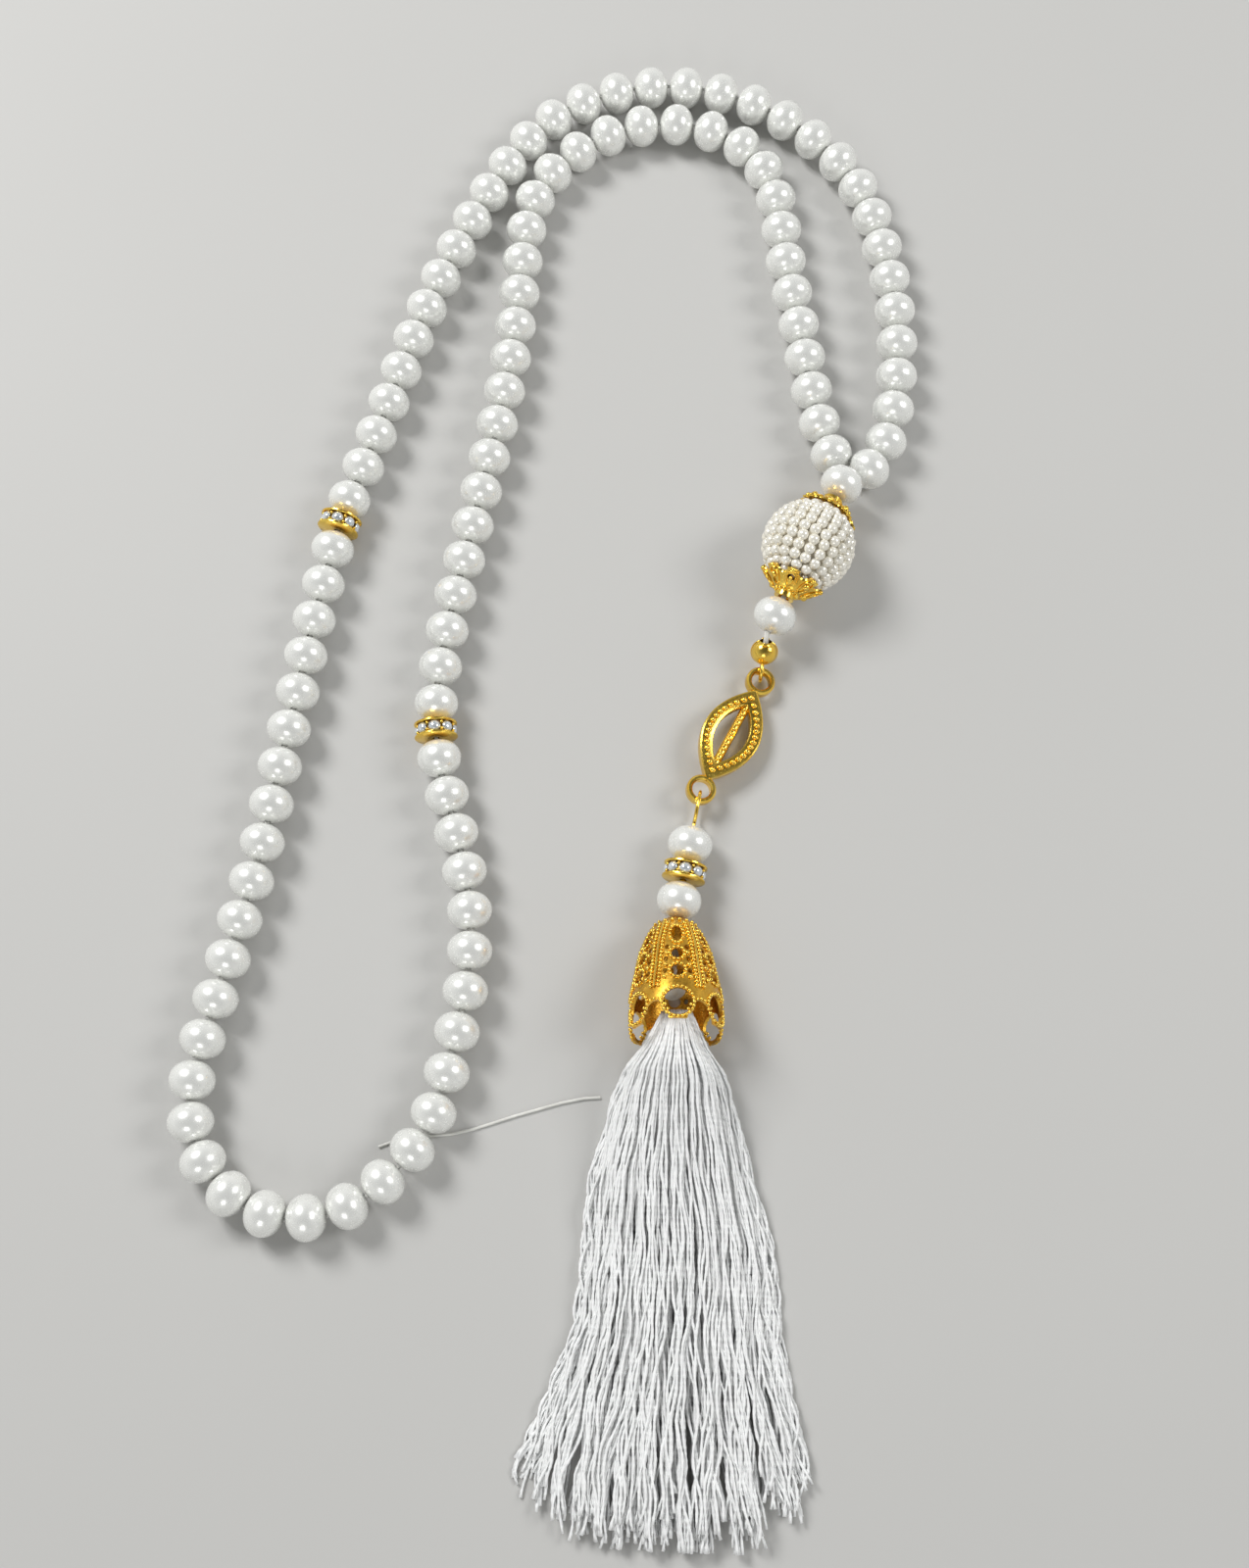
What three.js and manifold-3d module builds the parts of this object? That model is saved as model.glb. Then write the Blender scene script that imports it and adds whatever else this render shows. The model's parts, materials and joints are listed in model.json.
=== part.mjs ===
// Misbaha: a closed string of 99 glass pearls in three counts of 33, parted by two stone-set
// dividers, with a pendant of a seed-pearl ball, a leaf charm, a filigree cone and a tassel.
// It lies on a table: millimetres, +Z up, the table is z = 0, the tassel points to -Y.

import * as THREE from 'three';
import { mergeVertices } from 'three/addons/utils/BufferGeometryUtils.js';
import Module from 'manifold-3d';

const wasm = await Module();
wasm.setup();

// ---------------------------------------------------------------- driving dimensions

const clearance = 0.35; // between pieces that only touch
const origin = [-11.11, 106.85]; // the layout's point under the middle of the whole piece

const pearlRadius = 4.0;
const pearlLength = 6.85; // along the string, a little less than the diameter
const pearlBore = 0.65; // radius
const pearlRim = 0.95; // radius of the flat round each hole
const stringRadius = 0.32;
const doubledStringRadius = 0.48; // the pendant's two strings as one
const pearlPitch = pearlLength + clearance;

const dividerRadius = 3.9;
const dividerLength = 3.0;
const dividerRim = 0.55; // thickness of each side plate
const channelDepth = 0.9; // from the rims down to the channel's floor
const stoneCount = 8;
const stoneSeat = 0.3; // from the stones to the channel's floor and sides
const stoneShoulder = 0.2;
const stoneRecess = 0.1; // from the rims' edge down to the stones' crests

const ballRadius = 8.8;
const seedRows = 9;
const seedGroove = 0.45; // depth between two rows
const ballPole = 0.12; // share of half a turn that the flat round each hole takes up
const ballBore = 1.5;
const capBore = 1.1;
const capNeckRadius = 1.9;
const capNeckLength = 1.1;
const capRadius = 6.0;
const capDepth = 2.7; // from the neck to the petal tips
const capWall = 0.4;
const capPetals = 8;
const capShoulder = { depth: 0.47, outside: 0.5, inside: 0.46 }; // shares of depth and spread
const capTip = { inset: 0.2, overhang: 0.28 };
const petalNotchRadius = 0.9;
const petalNotchOffset = 0.55; // from the petal tips out to the notch's middle
const mouthGap = 0.25; // from the string's two mouths to the junction pearl

const knotCoverRadius = 2.45;
const knotCoverWall = 0.45;
const knotCoverMouth = 1.1;
const knotCoverInner = knotCoverRadius - knotCoverWall;
const knotRadius = 1.1;
const wireRadius = 0.33;
const tabLength = 0.7; // of the cover's tabs towards the pearl
const hookRadius = 1.95; // of the hook's turn, to the middle of its wire
const hookPlay = 0.5; // between the cover and the charm's ring

const charmThickness = 2.2;
const charmRingRadius = 2.7;
const charmRingBore = 1.7;
// Each lens's tips, from the rings' centres, and how far its edges are pulled out.
const charmLeaf = { tip: 2.0, bulge: 10.8 };
const charmOpening = { tip: 5.6, bulge: 6.0 };
const charmRib = { width: 1.5, thickness: 1.6 };
const charmRoll = THREE.MathUtils.degToRad(9);

const eyeHalfLength = 2.95;
const eyeHalfWidth = 2.35;
const hangerRadius = 1.5; // the pin's lower eye, inside the cone
const hangerDepth = 6.4; // how far the lower eye sits below the cone's neck

const coneRadius = 8.0;
const coneLength = 21.3;
const coneWall = 0.6;
const coneBore = 0.95;
// The cone's outline: share of its length, share of its radius.
const coneShape = [[0, 0.24], [0.06, 0.45], [0.3, 0.75], [0.5, 0.86], [0.7, 0.97], [1, 1]];
const coneLobes = 6;
const coneNeckEase = 0.1; // keeps the floor inside the neck's edge
const lobeRadius = 2.4;
const lobePlace = 18.3; // from the neck to the middle of each lobe opening
const slotRadius = 0.8;
const slotStretch = 1.9;
const slotPlace = 5.1; // from the neck to the middle of each teardrop slot

const tasselLength = 79; // from the cone's mouth to the cut ends
const tasselHeadRadius = 2.4;
const tasselHeadShape = [[0, -0.9], [0.8, -0.6], [1, 0], [0.8, 0.6], [0, 0.9]];
const tasselLoopRadius = 1.5;
const tasselLoopWire = 0.3;
const tasselLoopHang = 0.75; // how far the loop's middle hangs below the pin's eye
const tasselNeckPlace = 0.66; // share of the cone's length at which the tassel is bound
const tasselTipLength = 3; // where the cut ends draw in
const hankSquareness = 0.75;
const hankFlatness = 1.15;
const strayRadius = 0.25;
const strayLift = 0.02;

// Heights of the pendant's pieces above the table, and their headings from -Y towards -X.
const junctionHeight = 7.4;
const imamHeight = 7.4;
const knotCoverHeight = 4.3;
const charmHeight = 2.45;
const pinHeight = 3.75; // at the charm's lower ring, from where the pin rises
const pinRise = THREE.MathUtils.degToRad(2);
const headings = { ball: 25, imam: 23, knotCover: 15, charm: 6, pin: 9, cone: -2, tassel: -1.5 };

// The string's route over the table, from the junction pearl up the outer side, round the
// arch, down to the toe and back up the inner side to the junction. [x, y, lift]
const route = [
  [41.2, 154.2, 1.0], [44.6, 157.6, 0.4], [47.2, 164.3, 0], [48.8, 178.0, 0],
  [48.4, 192.0, 0], [45.6, 206.6, 0],
  [40.7, 220.0, 0], [31.0, 230.6, 0], [18.6, 237.8, 0], [5.0, 240.6, 0], [-8.6, 238.2, 0],
  [-20.8, 231.0, 0], [-29.2, 219.0, 0], [-35.2, 206.0, 0], [-40.4, 192.8, 0],
  [-44.6, 179.2, 0], [-48.2, 165.4, 0], [-52.0, 151.5, 0], [-55.0, 141.2, 0],
  [-56.5, 131.6, 0], [-58.1, 121.4, 0], [-59.7, 107.4, 0], [-61.6, 93.4, 0], [-63.2, 79.6, 0],
  [-65.8, 65.6, 0], [-68.5, 51.6, 0], [-71.2, 37.6, 0], [-70.8, 30.6, 0],
  [-68.2, 24.4, 0], [-63.2, 19.0, 0], [-56.6, 15.8, 0], [-49.6, 15.6, 0], [-42.6, 17.8, 0],
  [-33.3, 26.8, 0], [-29.6, 33.6, 0], [-28.2, 40.6, 0], [-25.8, 54.6, 0], [-25.9, 68.8, 0],
  [-29.2, 82.6, 0], [-32.9, 94.4, 0],
  [-34.6, 105.2, 0], [-33.9, 118.6, 0], [-31.8, 132.6, 0], [-29.6, 146.4, 0],
  [-27.2, 161.6, 0], [-25.4, 175.8, 0], [-24.4, 190.6, 0], [-24.0, 204.4, 0],
  [-22.2, 214.8, 0], [-15.8, 223.4, 0], [-3.6, 230.8, 0], [10.4, 231.0, 0], [21.2, 224.6, 0],
  [25.0, 215.6, 0], [27.0, 201.4, 0], [29.8, 187.6, 0], [32.2, 174.0, 0], [34.0, 166.6, 0],
  [35.6, 160.2, 0.4], [37.6, 156.4, 1.0],
];

// The stretches of the string between its bending places, in order from the junction. Each has
// a length of string of its own, unless it shares the one it names.
const stretches = [
  { name: 'outer_arch', runs: [5, 5, 5, 5, 5, 4, 4] },
  { divider: 'left_divider' },
  { name: 'outer_side', runs: [3, 3, 3] },
  { name: 'lower_left', runs: [2] },
  { name: 'left_drop', runs: [3] },
  { name: 'toe', runs: [4, 3, 3] },
  { name: 'right_drop', runs: [3] },
  { name: 'lower_right', runs: [3, 3] },
  { divider: 'right_divider' },
  { name: 'lower_inner', runs: [3], string: 'lower_right' },
  { name: 'inner_side', runs: [3, 3, 3] },
  { name: 'inner_arch', runs: [5, 4, 4, 4, 4] },
];

// ---------------------------------------------------------------- finishes

const finish = (color, roughness, metalness) => () =>
  new THREE.MeshStandardMaterial({ color, roughness, metalness });

const pearlGlaze = finish(0xe9ebe4, 0.2, 0);
const seedGlaze = finish(0xf0eddd, 0.25, 0);
const gold = finish(0xe0ac35, 0.22, 1);
const stone = finish(0xeef4f6, 0.05, 0);
const thread = finish(0xf3f3ee, 0.6, 0);
const silk = finish(0xf4f5f3, 0.4, 0);

// ---------------------------------------------------------------- geometry helpers

const misbaha = new THREE.Group();
const mergeDistance = 1e-4;
const upright = new THREE.Vector3(0, 0, 1);

function piece(name, geometry, material, place = new THREE.Matrix4()) {
  const mesh = new THREE.Mesh(geometry, material());
  mesh.name = name;
  mesh.applyMatrix4(place);
  misbaha.add(mesh);
}

// A closed mesh as a solid, for cutting and joining.
function solid(geometry, place = new THREE.Matrix4()) {
  const bare = geometry.clone().applyMatrix4(place);
  bare.deleteAttribute('normal');
  bare.deleteAttribute('uv');
  const merged = mergeVertices(bare, mergeDistance);
  return new wasm.Manifold(new wasm.Mesh({
    numProp: 3,
    vertProperties: new Float32Array(merged.attributes.position.array),
    triVerts: new Uint32Array(merged.index.array),
  }));
}

function geometryOf(manifold) {
  const mesh = manifold.getMesh();
  const geometry = new THREE.BufferGeometry();
  geometry.setAttribute('position', new THREE.Float32BufferAttribute(mesh.vertProperties, 3));
  geometry.setIndex(Array.from(mesh.triVerts));
  geometry.computeVertexNormals();
  return geometry;
}

// A turned piece about +Y from a closed outline of [radius, y], outline running up the outside.
function turned(outline, segments) {
  const points = [...outline, outline[0]].map(([r, y]) => new THREE.Vector2(r, y));
  return new THREE.LatheGeometry(points, segments);
}

// Places a piece turned about +Y with its +Y along a direction and its +Z as high as it goes.
function along(position, direction) {
  const forward = direction.clone().normalize();
  const side = new THREE.Vector3().crossVectors(forward, upright).normalize();
  const up = new THREE.Vector3().crossVectors(side, forward);
  return new THREE.Matrix4().makeBasis(side, forward, up).setPosition(position);
}

const heading = (degrees) => {
  const angle = THREE.MathUtils.degToRad(degrees);
  return new THREE.Vector3(-Math.sin(angle), -Math.cos(angle), 0);
};

// The point at a true distance from a start, at a heading and at a height.
function step(start, degrees, distance, height) {
  const rise = height - start.z;
  const level = Math.sqrt(distance * distance - rise * rise);
  return start.clone().addScaledVector(heading(degrees), level).setZ(height);
}

const mix = (a, b, t) => a.clone().lerp(b, t);

// ---------------------------------------------------------------- pearls

// Half of a pearl's outline: share of the half length, share of the radius.
const pearlShape = [[0.82, 0.66], [0.3, 1.0]];

// The outline of pearls in a row from y = 0, bored through and joined by their hole rims.
function pearlRowOutline(count, shape = pearlShape) {
  const outline = [];
  for (let i = 0; i < count; i += 1) {
    const middle = (i + 0.5) * pearlPitch;
    const half = pearlLength / 2;
    outline.push([pearlRim, i === 0 ? middle - half : i * pearlPitch]);
    shape.forEach(([t, r]) => outline.push([r * pearlRadius, middle - t * half]));
    const farSide = [...shape].reverse().filter(([t]) => t > 0); // the widest point is shared
    farSide.forEach(([t, r]) => outline.push([r * pearlRadius, middle + t * half]));
  }
  const end = count * pearlPitch - clearance / 2;
  outline.push([pearlRim, end], [pearlBore, end]);
  for (let i = count - 1; i > 0; i -= 1) outline.push([pearlBore, i * pearlPitch]);
  outline.push([pearlBore, clearance / 2]);
  return outline;
}

// Bends a straight row along +Y so that each pearl lies on its own stretch of the route.
function bendRow(geometry, marks) {
  const position = geometry.attributes.position;
  const axes = marks.slice(1).map((mark, i) => mark.clone().sub(marks[i]).normalize());
  for (let i = 0; i < position.count; i += 1) {
    const pearlsAlong = position.getY(i) / pearlPitch;
    const joint = Math.round(pearlsAlong);
    const nearJoint = Math.abs(pearlsAlong - joint) < mergeDistance;
    const onJoint = nearJoint && joint > 0 && joint < axes.length;
    const cell = Math.min(axes.length - 1, Math.max(0, Math.floor(pearlsAlong)));
    const axis = onJoint ? mix(axes[joint - 1], axes[joint], 0.5) : axes[cell];
    const centre = onJoint ? marks[joint] : mix(marks[cell], marks[cell + 1], pearlsAlong - cell);
    const point = new THREE.Vector3(position.getX(i), 0, position.getZ(i));
    point.applyMatrix4(along(centre, axis));
    position.setXYZ(i, point.x, point.y, point.z);
  }
  return geometry;
}

// The same for a pearl by itself, with more points.
const finePearl = [[0.93, 0.45], [0.72, 0.74], [0.4, 0.95], [0, 1.0]];

// One pearl by itself, centred on its own middle, +Y along its hole.
function singlePearl() {
  return turned(pearlRowOutline(1, finePearl), 14).translate(0, -pearlPitch / 2, 0);
}

// A string through marks, stopping short of both ends.
function stringThrough(marks) {
  const gap = clearance / 2;
  const points = marks.map((mark) => mark.clone());
  const last = points.length - 1;
  points[0].addScaledVector(points[1].clone().sub(points[0]).normalize(), gap);
  points[last].addScaledVector(points[last - 1].clone().sub(points[last]).normalize(), gap);
  return rodAlong(points, stringRadius, 6);
}

// A round rod through points, with flat ends.
function rodAlong(points, radius, sides) {
  const corners = [];
  const rings = points.map((point, i) => {
    const before = points[Math.max(0, i - 1)];
    const after = points[Math.min(points.length - 1, i + 1)];
    return along(point, after.clone().sub(before));
  });
  rings.forEach((place) => {
    for (let k = 0; k < sides; k += 1) {
      const angle = (2 * Math.PI * k) / sides;
      const corner = new THREE.Vector3(radius * Math.cos(angle), 0, radius * Math.sin(angle));
      corners.push(corner.applyMatrix4(place));
    }
  });
  return skin(corners, sides, rings.length);
}

// The closed skin over equal rings of corners, with fans at both ends.
function skin(corners, sides, rings) {
  const index = [];
  for (let ring = 0; ring < rings - 1; ring += 1) {
    for (let k = 0; k < sides; k += 1) {
      const a = ring * sides + k;
      const b = ring * sides + ((k + 1) % sides);
      index.push(a, a + sides, b, b, a + sides, b + sides);
    }
  }
  const last = (rings - 1) * sides;
  for (let k = 1; k < sides - 1; k += 1) {
    index.push(0, k, k + 1, last, last + k + 1, last + k);
  }
  const geometry = new THREE.BufferGeometry().setFromPoints(corners);
  geometry.setIndex(index);
  geometry.computeVertexNormals();
  return geometry;
}

// ---------------------------------------------------------------- the string of pearls

const pearlCount = stretches.flatMap((stretch) => stretch.runs ?? []).reduce((a, b) => a + b, 0);
const dividerPitch = dividerLength + clearance;
const stringLength = pearlCount * pearlPitch + 2 * dividerPitch;

const drawn = new THREE.CatmullRomCurve3(
  route.map(([x, y, lift]) => new THREE.Vector3(x - origin[0], y - origin[1], lift)),
  false, 'centripetal');
const routeDivisions = 6000;
drawn.arcLengthDivisions = routeDivisions;
const routeScale = stringLength / drawn.getLength();

// The point of the route at a distance along the string.
function onRoute(distance) {
  const point = drawn.getPointAt(Math.min(1, Math.max(0, distance / stringLength)));
  const height = Math.max(0, point.z) + pearlRadius;
  return new THREE.Vector3(point.x * routeScale, point.y * routeScale, height);
}

// Side plates and a channel, +Y along the hole, centred.
function dividerChannel() {
  const half = dividerLength / 2;
  const groove = dividerRadius - channelDepth;
  return turned([
    [pearlBore, -half], [dividerRadius, -half], [dividerRadius, -half + dividerRim],
    [groove, -half + dividerRim], [groove, half - dividerRim],
    [dividerRadius, half - dividerRim], [dividerRadius, half], [pearlBore, half],
  ], 20);
}

// The ring of stones in the channel, as one band that swells at each stone.
function dividerStones() {
  const inner = dividerRadius - channelDepth + stoneSeat;
  const shoulder = inner + stoneShoulder;
  const half = dividerLength / 2 - dividerRim - stoneSeat;
  const crest = dividerRadius - stoneRecess;
  const tableHalf = half * 0.4; // half of a stone's flat top
  const band = turned([[inner, -half], [shoulder, -half], [crest, -tableHalf],
    [crest, tableHalf], [shoulder, half], [inner, half]], 2 * stoneCount);
  const position = band.attributes.position;
  for (let i = 0; i < position.count; i += 1) {
    const radius = Math.hypot(position.getX(i), position.getZ(i));
    const turn = Math.atan2(position.getX(i), position.getZ(i));
    const betweenStones = Math.cos(turn * stoneCount) < 0;
    if (radius > (shoulder + crest) / 2 && betweenStones) {
      const sink = (shoulder + mergeDistance) / radius;
      position.setXYZ(i, position.getX(i) * sink, position.getY(i), position.getZ(i) * sink);
    }
  }
  return band;
}

function placeDivider(name, position, direction) {
  const place = along(position, direction);
  piece(`${name}_channel`, dividerChannel(), gold, place);
  piece(`${name}_stones`, dividerStones(), stone, place);
}

const pivots = {};
let distance = 0;
let runNumber = 0;
let stringName = stretches[0].name;
let strungSoFar = [];

// Ends the length of string so far, where the string bends at a hinge.
function endString(name) {
  piece(`string_${name}`, stringThrough(strungSoFar), thread);
  strungSoFar = [];
}

for (const stretch of stretches) {
  if (stretch.divider) {
    const start = onRoute(distance);
    const end = onRoute(distance + dividerPitch);
    placeDivider(stretch.divider, mix(start, end, 0.5), end.clone().sub(start));
    pivots[stretch.divider] = { point: mix(start, end, 0.5), axis: end.clone().sub(start) };
    distance += dividerPitch;
    strungSoFar.push(end);
  } else {
    const ownString = stretch.string ?? stretch.name;
    if (ownString !== stringName) {
      endString(stringName);
      stringName = ownString;
    }
    pivots[stretch.name] = { point: onRoute(distance) };
    if (strungSoFar.length === 0) strungSoFar.push(onRoute(distance));
    for (const count of stretch.runs) {
      const marks = [];
      for (let i = 0; i <= count; i += 1) marks.push(onRoute(distance + i * pearlPitch));
      runNumber += 1;
      const name = `pearls_${String(runNumber).padStart(2, '0')}_${stretch.name}`;
      piece(name, bendRow(turned(pearlRowOutline(count), 8), marks), pearlGlaze);
      strungSoFar.push(...marks.slice(1));
      distance += count * pearlPitch;
    }
    pivots[`${stretch.name}_end`] = { point: onRoute(distance) };
  }
}
endString(stringName);

// ---------------------------------------------------------------- the pendant

// The junction pearl sits in front of the two ends of the string.
const mouths = mix(onRoute(0), onRoute(stringLength), 0.5);
const junction = mouths.clone().addScaledVector(heading(headings.ball), pearlLength / 2 + mouthGap);
junction.z = junctionHeight;

// A cap's outline from its neck (y = 0) towards the ball: outside, then inside.
const capSpread = capRadius - capNeckRadius;
const capReach = capNeckLength + capDepth;
const capShoulderHeight = capNeckLength + capDepth * capShoulder.depth;
const capOutside = [
  [capNeckRadius, 0], [capNeckRadius, capNeckLength],
  [capNeckRadius + capSpread * capShoulder.outside, capShoulderHeight], [capRadius, capReach],
];
const capInside = [
  [capRadius - capTip.inset, capReach + capTip.overhang],
  [capNeckRadius + capSpread * capShoulder.inside, capShoulderHeight + capWall],
  [capBore, capNeckLength + capWall], [capBore, 0],
];

// How far a ball's pole lies from the neck's end, so that the cap's inside clears the ball.
const capSeat = Math.max(...[...capInside, capOutside[3]].map(([r, y]) =>
  y + clearance - (ballRadius - Math.sqrt(ballRadius ** 2 - r ** 2))));

function petalCap() {
  let cap = solid(turned([...capOutside, ...capInside], 2 * capPetals));
  for (let i = 0; i < capPetals; i += 1) {
    const turn = new THREE.Matrix4().makeRotationY((2 * Math.PI * (i + 0.5)) / capPetals);
    const notch = new THREE.CylinderGeometry(petalNotchRadius, petalNotchRadius, 2 * capDepth, 8)
      .translate(0, capReach, capRadius + petalNotchOffset);
    cap = cap.subtract(solid(notch, turn));
  }
  return geometryOf(cap);
}

// The ball of seed pearls as rows of beading round a bored core.
function seedBall() {
  const outline = [];
  const poleHeight = ballRadius * Math.cos(Math.PI * ballPole);
  const steps = seedRows * 2;
  for (let i = 0; i <= steps; i += 1) {
    const latitude = Math.PI * (ballPole + ((1 - 2 * ballPole) * i) / steps) - Math.PI / 2;
    const radius = ballRadius - (i % 2 === 0 ? 0 : seedGroove);
    outline.push([radius * Math.cos(latitude), radius * Math.sin(latitude)]);
  }
  outline.push([ballBore, poleHeight], [ballBore, -poleHeight]);
  return turned(outline, 18);
}

const capToBall = pearlLength / 2 + clearance + capSeat + ballRadius;
const ball = step(junction, headings.ball, capToBall, ballRadius);
const imam = step(ball, headings.imam, capToBall, imamHeight);
const knotCover = step(imam, headings.knotCover,
  pearlLength / 2 + clearance + tabLength + knotCoverRadius, knotCoverHeight);
const charmRing = step(knotCover, headings.charm,
  knotCoverRadius + hookPlay + charmRingRadius, charmHeight);

const towardsBall = ball.clone().sub(junction).normalize();
const towardsImam = imam.clone().sub(ball).normalize();
const imamMouth = imam.clone().addScaledVector(towardsImam, pearlLength / 2);
const towardsCover = knotCover.clone().sub(imamMouth).normalize();

piece('junction_pearl', singlePearl(), pearlGlaze, along(junction, towardsBall));
const upperCapEnd = junction.clone().addScaledVector(towardsBall, pearlLength / 2 + clearance);
piece('upper_cap', petalCap(), gold, along(upperCapEnd, towardsBall));
const ballAxis = imam.clone().sub(junction).normalize();
piece('pearl_ball', seedBall(), seedGlaze, along(ball, ballAxis));
const lowerCapEnd = imam.clone().addScaledVector(towardsImam, -pearlLength / 2 - clearance);
piece('lower_cap', petalCap(), gold, along(lowerCapEnd, towardsImam.clone().negate()));
piece('imam_pearl', singlePearl(), pearlGlaze, along(imam, towardsImam));

// The clam cover: a thin ball, open towards the pearl, with a hook turn through the charm.
function knotCoverPiece() {
  const steps = 5;
  const shell = (radius) => {
    const openAt = Math.asin(knotCoverMouth / radius);
    return Array.from({ length: steps + 1 }, (_, i) => {
      const angle = openAt + ((Math.PI - openAt) * i) / steps;
      return [Math.max(0, radius * Math.sin(angle)), -radius * Math.cos(angle)];
    });
  };
  const outline = [...shell(knotCoverRadius), ...shell(knotCoverInner).reverse()];
  return solid(turned(outline, 12), along(knotCover, towardsCover));
}

const charmAway = heading(headings.charm);
const hookCentre = charmRing.clone().addScaledVector(
  charmAway, -(charmRingBore + charmRingRadius) / 2);
const hookSide = new THREE.Vector3().crossVectors(charmAway, upright);
const hookPlace = new THREE.Matrix4().makeBasis(charmAway, upright, hookSide)
  .setPosition(hookCentre);
const hook = solid(new THREE.TorusGeometry(hookRadius, wireRadius, 6, 18), hookPlace);
const hollow = solid(new THREE.SphereGeometry(knotCoverInner, 12, 8),
  new THREE.Matrix4().makeTranslation(knotCover.x, knotCover.y, knotCover.z));
piece('knot_cover', geometryOf(knotCoverPiece().add(hook.subtract(hollow))), gold);

// The pendant's doubled string and the knot that ends it in the cover.
const cordStart = junction.clone().addScaledVector(towardsBall, pearlLength / 2 + clearance / 2);
const cordMarks = [cordStart, mix(junction, ball, 0.5), ball, mix(ball, imam, 0.5), imamMouth,
  knotCover];
const doubled = solid(rodAlong(cordMarks, doubledStringRadius, 6));
const knotPlace = new THREE.Matrix4().makeTranslation(knotCover.x, knotCover.y, knotCover.z);
const knot = solid(new THREE.SphereGeometry(knotRadius, 8, 6), knotPlace);
piece('pendant_string', geometryOf(doubled.add(knot)), thread);

// ---------------------------------------------------------------- the charm

// In the charm's own plane, from its upper ring: x across, y up the pendant.
// It is an open leaf with a centre rib, alike on both sides, held between two rings.
const charmUpperRing = [0, 0];
const charmLowerRing = [-10.5, -21.7];
const charmTop = new THREE.Vector2(...charmUpperRing);
const charmFoot = new THREE.Vector2(...charmLowerRing);
const charmAlong = charmFoot.clone().sub(charmTop).normalize();
const charmMiddle = charmTop.clone().add(charmFoot).multiplyScalar(0.5);

function charmPlate(shape, depth = charmThickness) {
  const plate = new THREE.ExtrudeGeometry(shape, {
    depth, bevelEnabled: false, curveSegments: 14,
  });
  return solid(plate.translate(0, 0, -depth / 2));
}

// A lens with its tips `tip` from the rings' centres, its edges pulled out by `bulge`.
function charmLens({ tip, bulge }) {
  const start = charmTop.clone().addScaledVector(charmAlong, tip);
  const end = charmFoot.clone().addScaledVector(charmAlong, -tip);
  const pull = new THREE.Vector2(-charmAlong.y, charmAlong.x).multiplyScalar(bulge);
  const left = charmMiddle.clone().add(pull);
  const right = charmMiddle.clone().sub(pull);
  const shape = new THREE.Shape().moveTo(start.x, start.y);
  shape.quadraticCurveTo(left.x, left.y, end.x, end.y);
  shape.quadraticCurveTo(right.x, right.y, start.x, start.y);
  return shape;
}

function charmRingPlate([x, y]) {
  const shape = new THREE.Shape().absarc(x, y, charmRingRadius, 0, 2 * Math.PI);
  return charmPlate(shape);
}

function charmPiece() {
  const ribLength = charmTop.distanceTo(charmFoot) - charmLeaf.tip - charmOpening.tip;
  const rib = new THREE.BoxGeometry(ribLength, charmRib.width, charmRib.thickness)
    .rotateZ(charmAlong.angle()).translate(charmMiddle.x, charmMiddle.y, 0);
  let charm = charmPlate(charmLens(charmLeaf));
  charm = charm.subtract(charmPlate(charmLens(charmOpening), 2 * charmThickness));
  charm = charm.add(solid(rib));
  [charmUpperRing, charmLowerRing].forEach((ring) => { charm = charm.add(charmRingPlate(ring)); });
  const bores = [charmUpperRing, charmLowerRing].map(([x, y]) =>
    new THREE.CylinderGeometry(charmRingBore, charmRingBore, 2 * charmThickness, 14)
      .rotateX(Math.PI / 2).translate(x, y, 0));
  bores.forEach((bore) => { charm = charm.subtract(solid(bore)); });
  return geometryOf(charm);
}

const charmPlace = new THREE.Matrix4().makeRotationY(charmRoll).setPosition(charmRing);
piece('leaf_charm', charmPiece(), gold, charmPlace);

// ---------------------------------------------------------------- the eye pin and its pearls

const lowerRing = new THREE.Vector3(...charmLowerRing, 0).applyMatrix4(charmPlace);
const pinAway = heading(headings.pin).setZ(Math.tan(pinRise)).normalize();
const pinStart = lowerRing.clone().setZ(pinHeight);
const onPin = (distanceDown) => pinStart.clone().addScaledVector(pinAway, distanceDown);

const barRadius = (charmRingBore + charmRingRadius) / 2;
const eyeTurn = (eyeHalfWidth * eyeHalfWidth) / eyeHalfLength; // radius of the eye's round ends
const eyeCentre = barRadius - eyeTurn + eyeHalfLength;
const eyeEnd = eyeCentre + eyeHalfLength + wireRadius;
const pinPearlUpper = eyeEnd + clearance + pearlLength / 2;
const pinDivider = pinPearlUpper + pearlLength / 2 + clearance + dividerLength / 2;
const pinPearlLower = pinDivider + dividerLength / 2 + clearance + pearlLength / 2;
const coneStart = pinPearlLower + pearlLength / 2 + clearance;
const pinEnd = coneStart + hangerDepth;

piece('pin_pearl_upper', singlePearl(), pearlGlaze, along(onPin(pinPearlUpper), pinAway));
placeDivider('pin_divider', onPin(pinDivider), pinAway);
piece('pin_pearl_lower', singlePearl(), pearlGlaze, along(onPin(pinPearlLower), pinAway));

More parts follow.
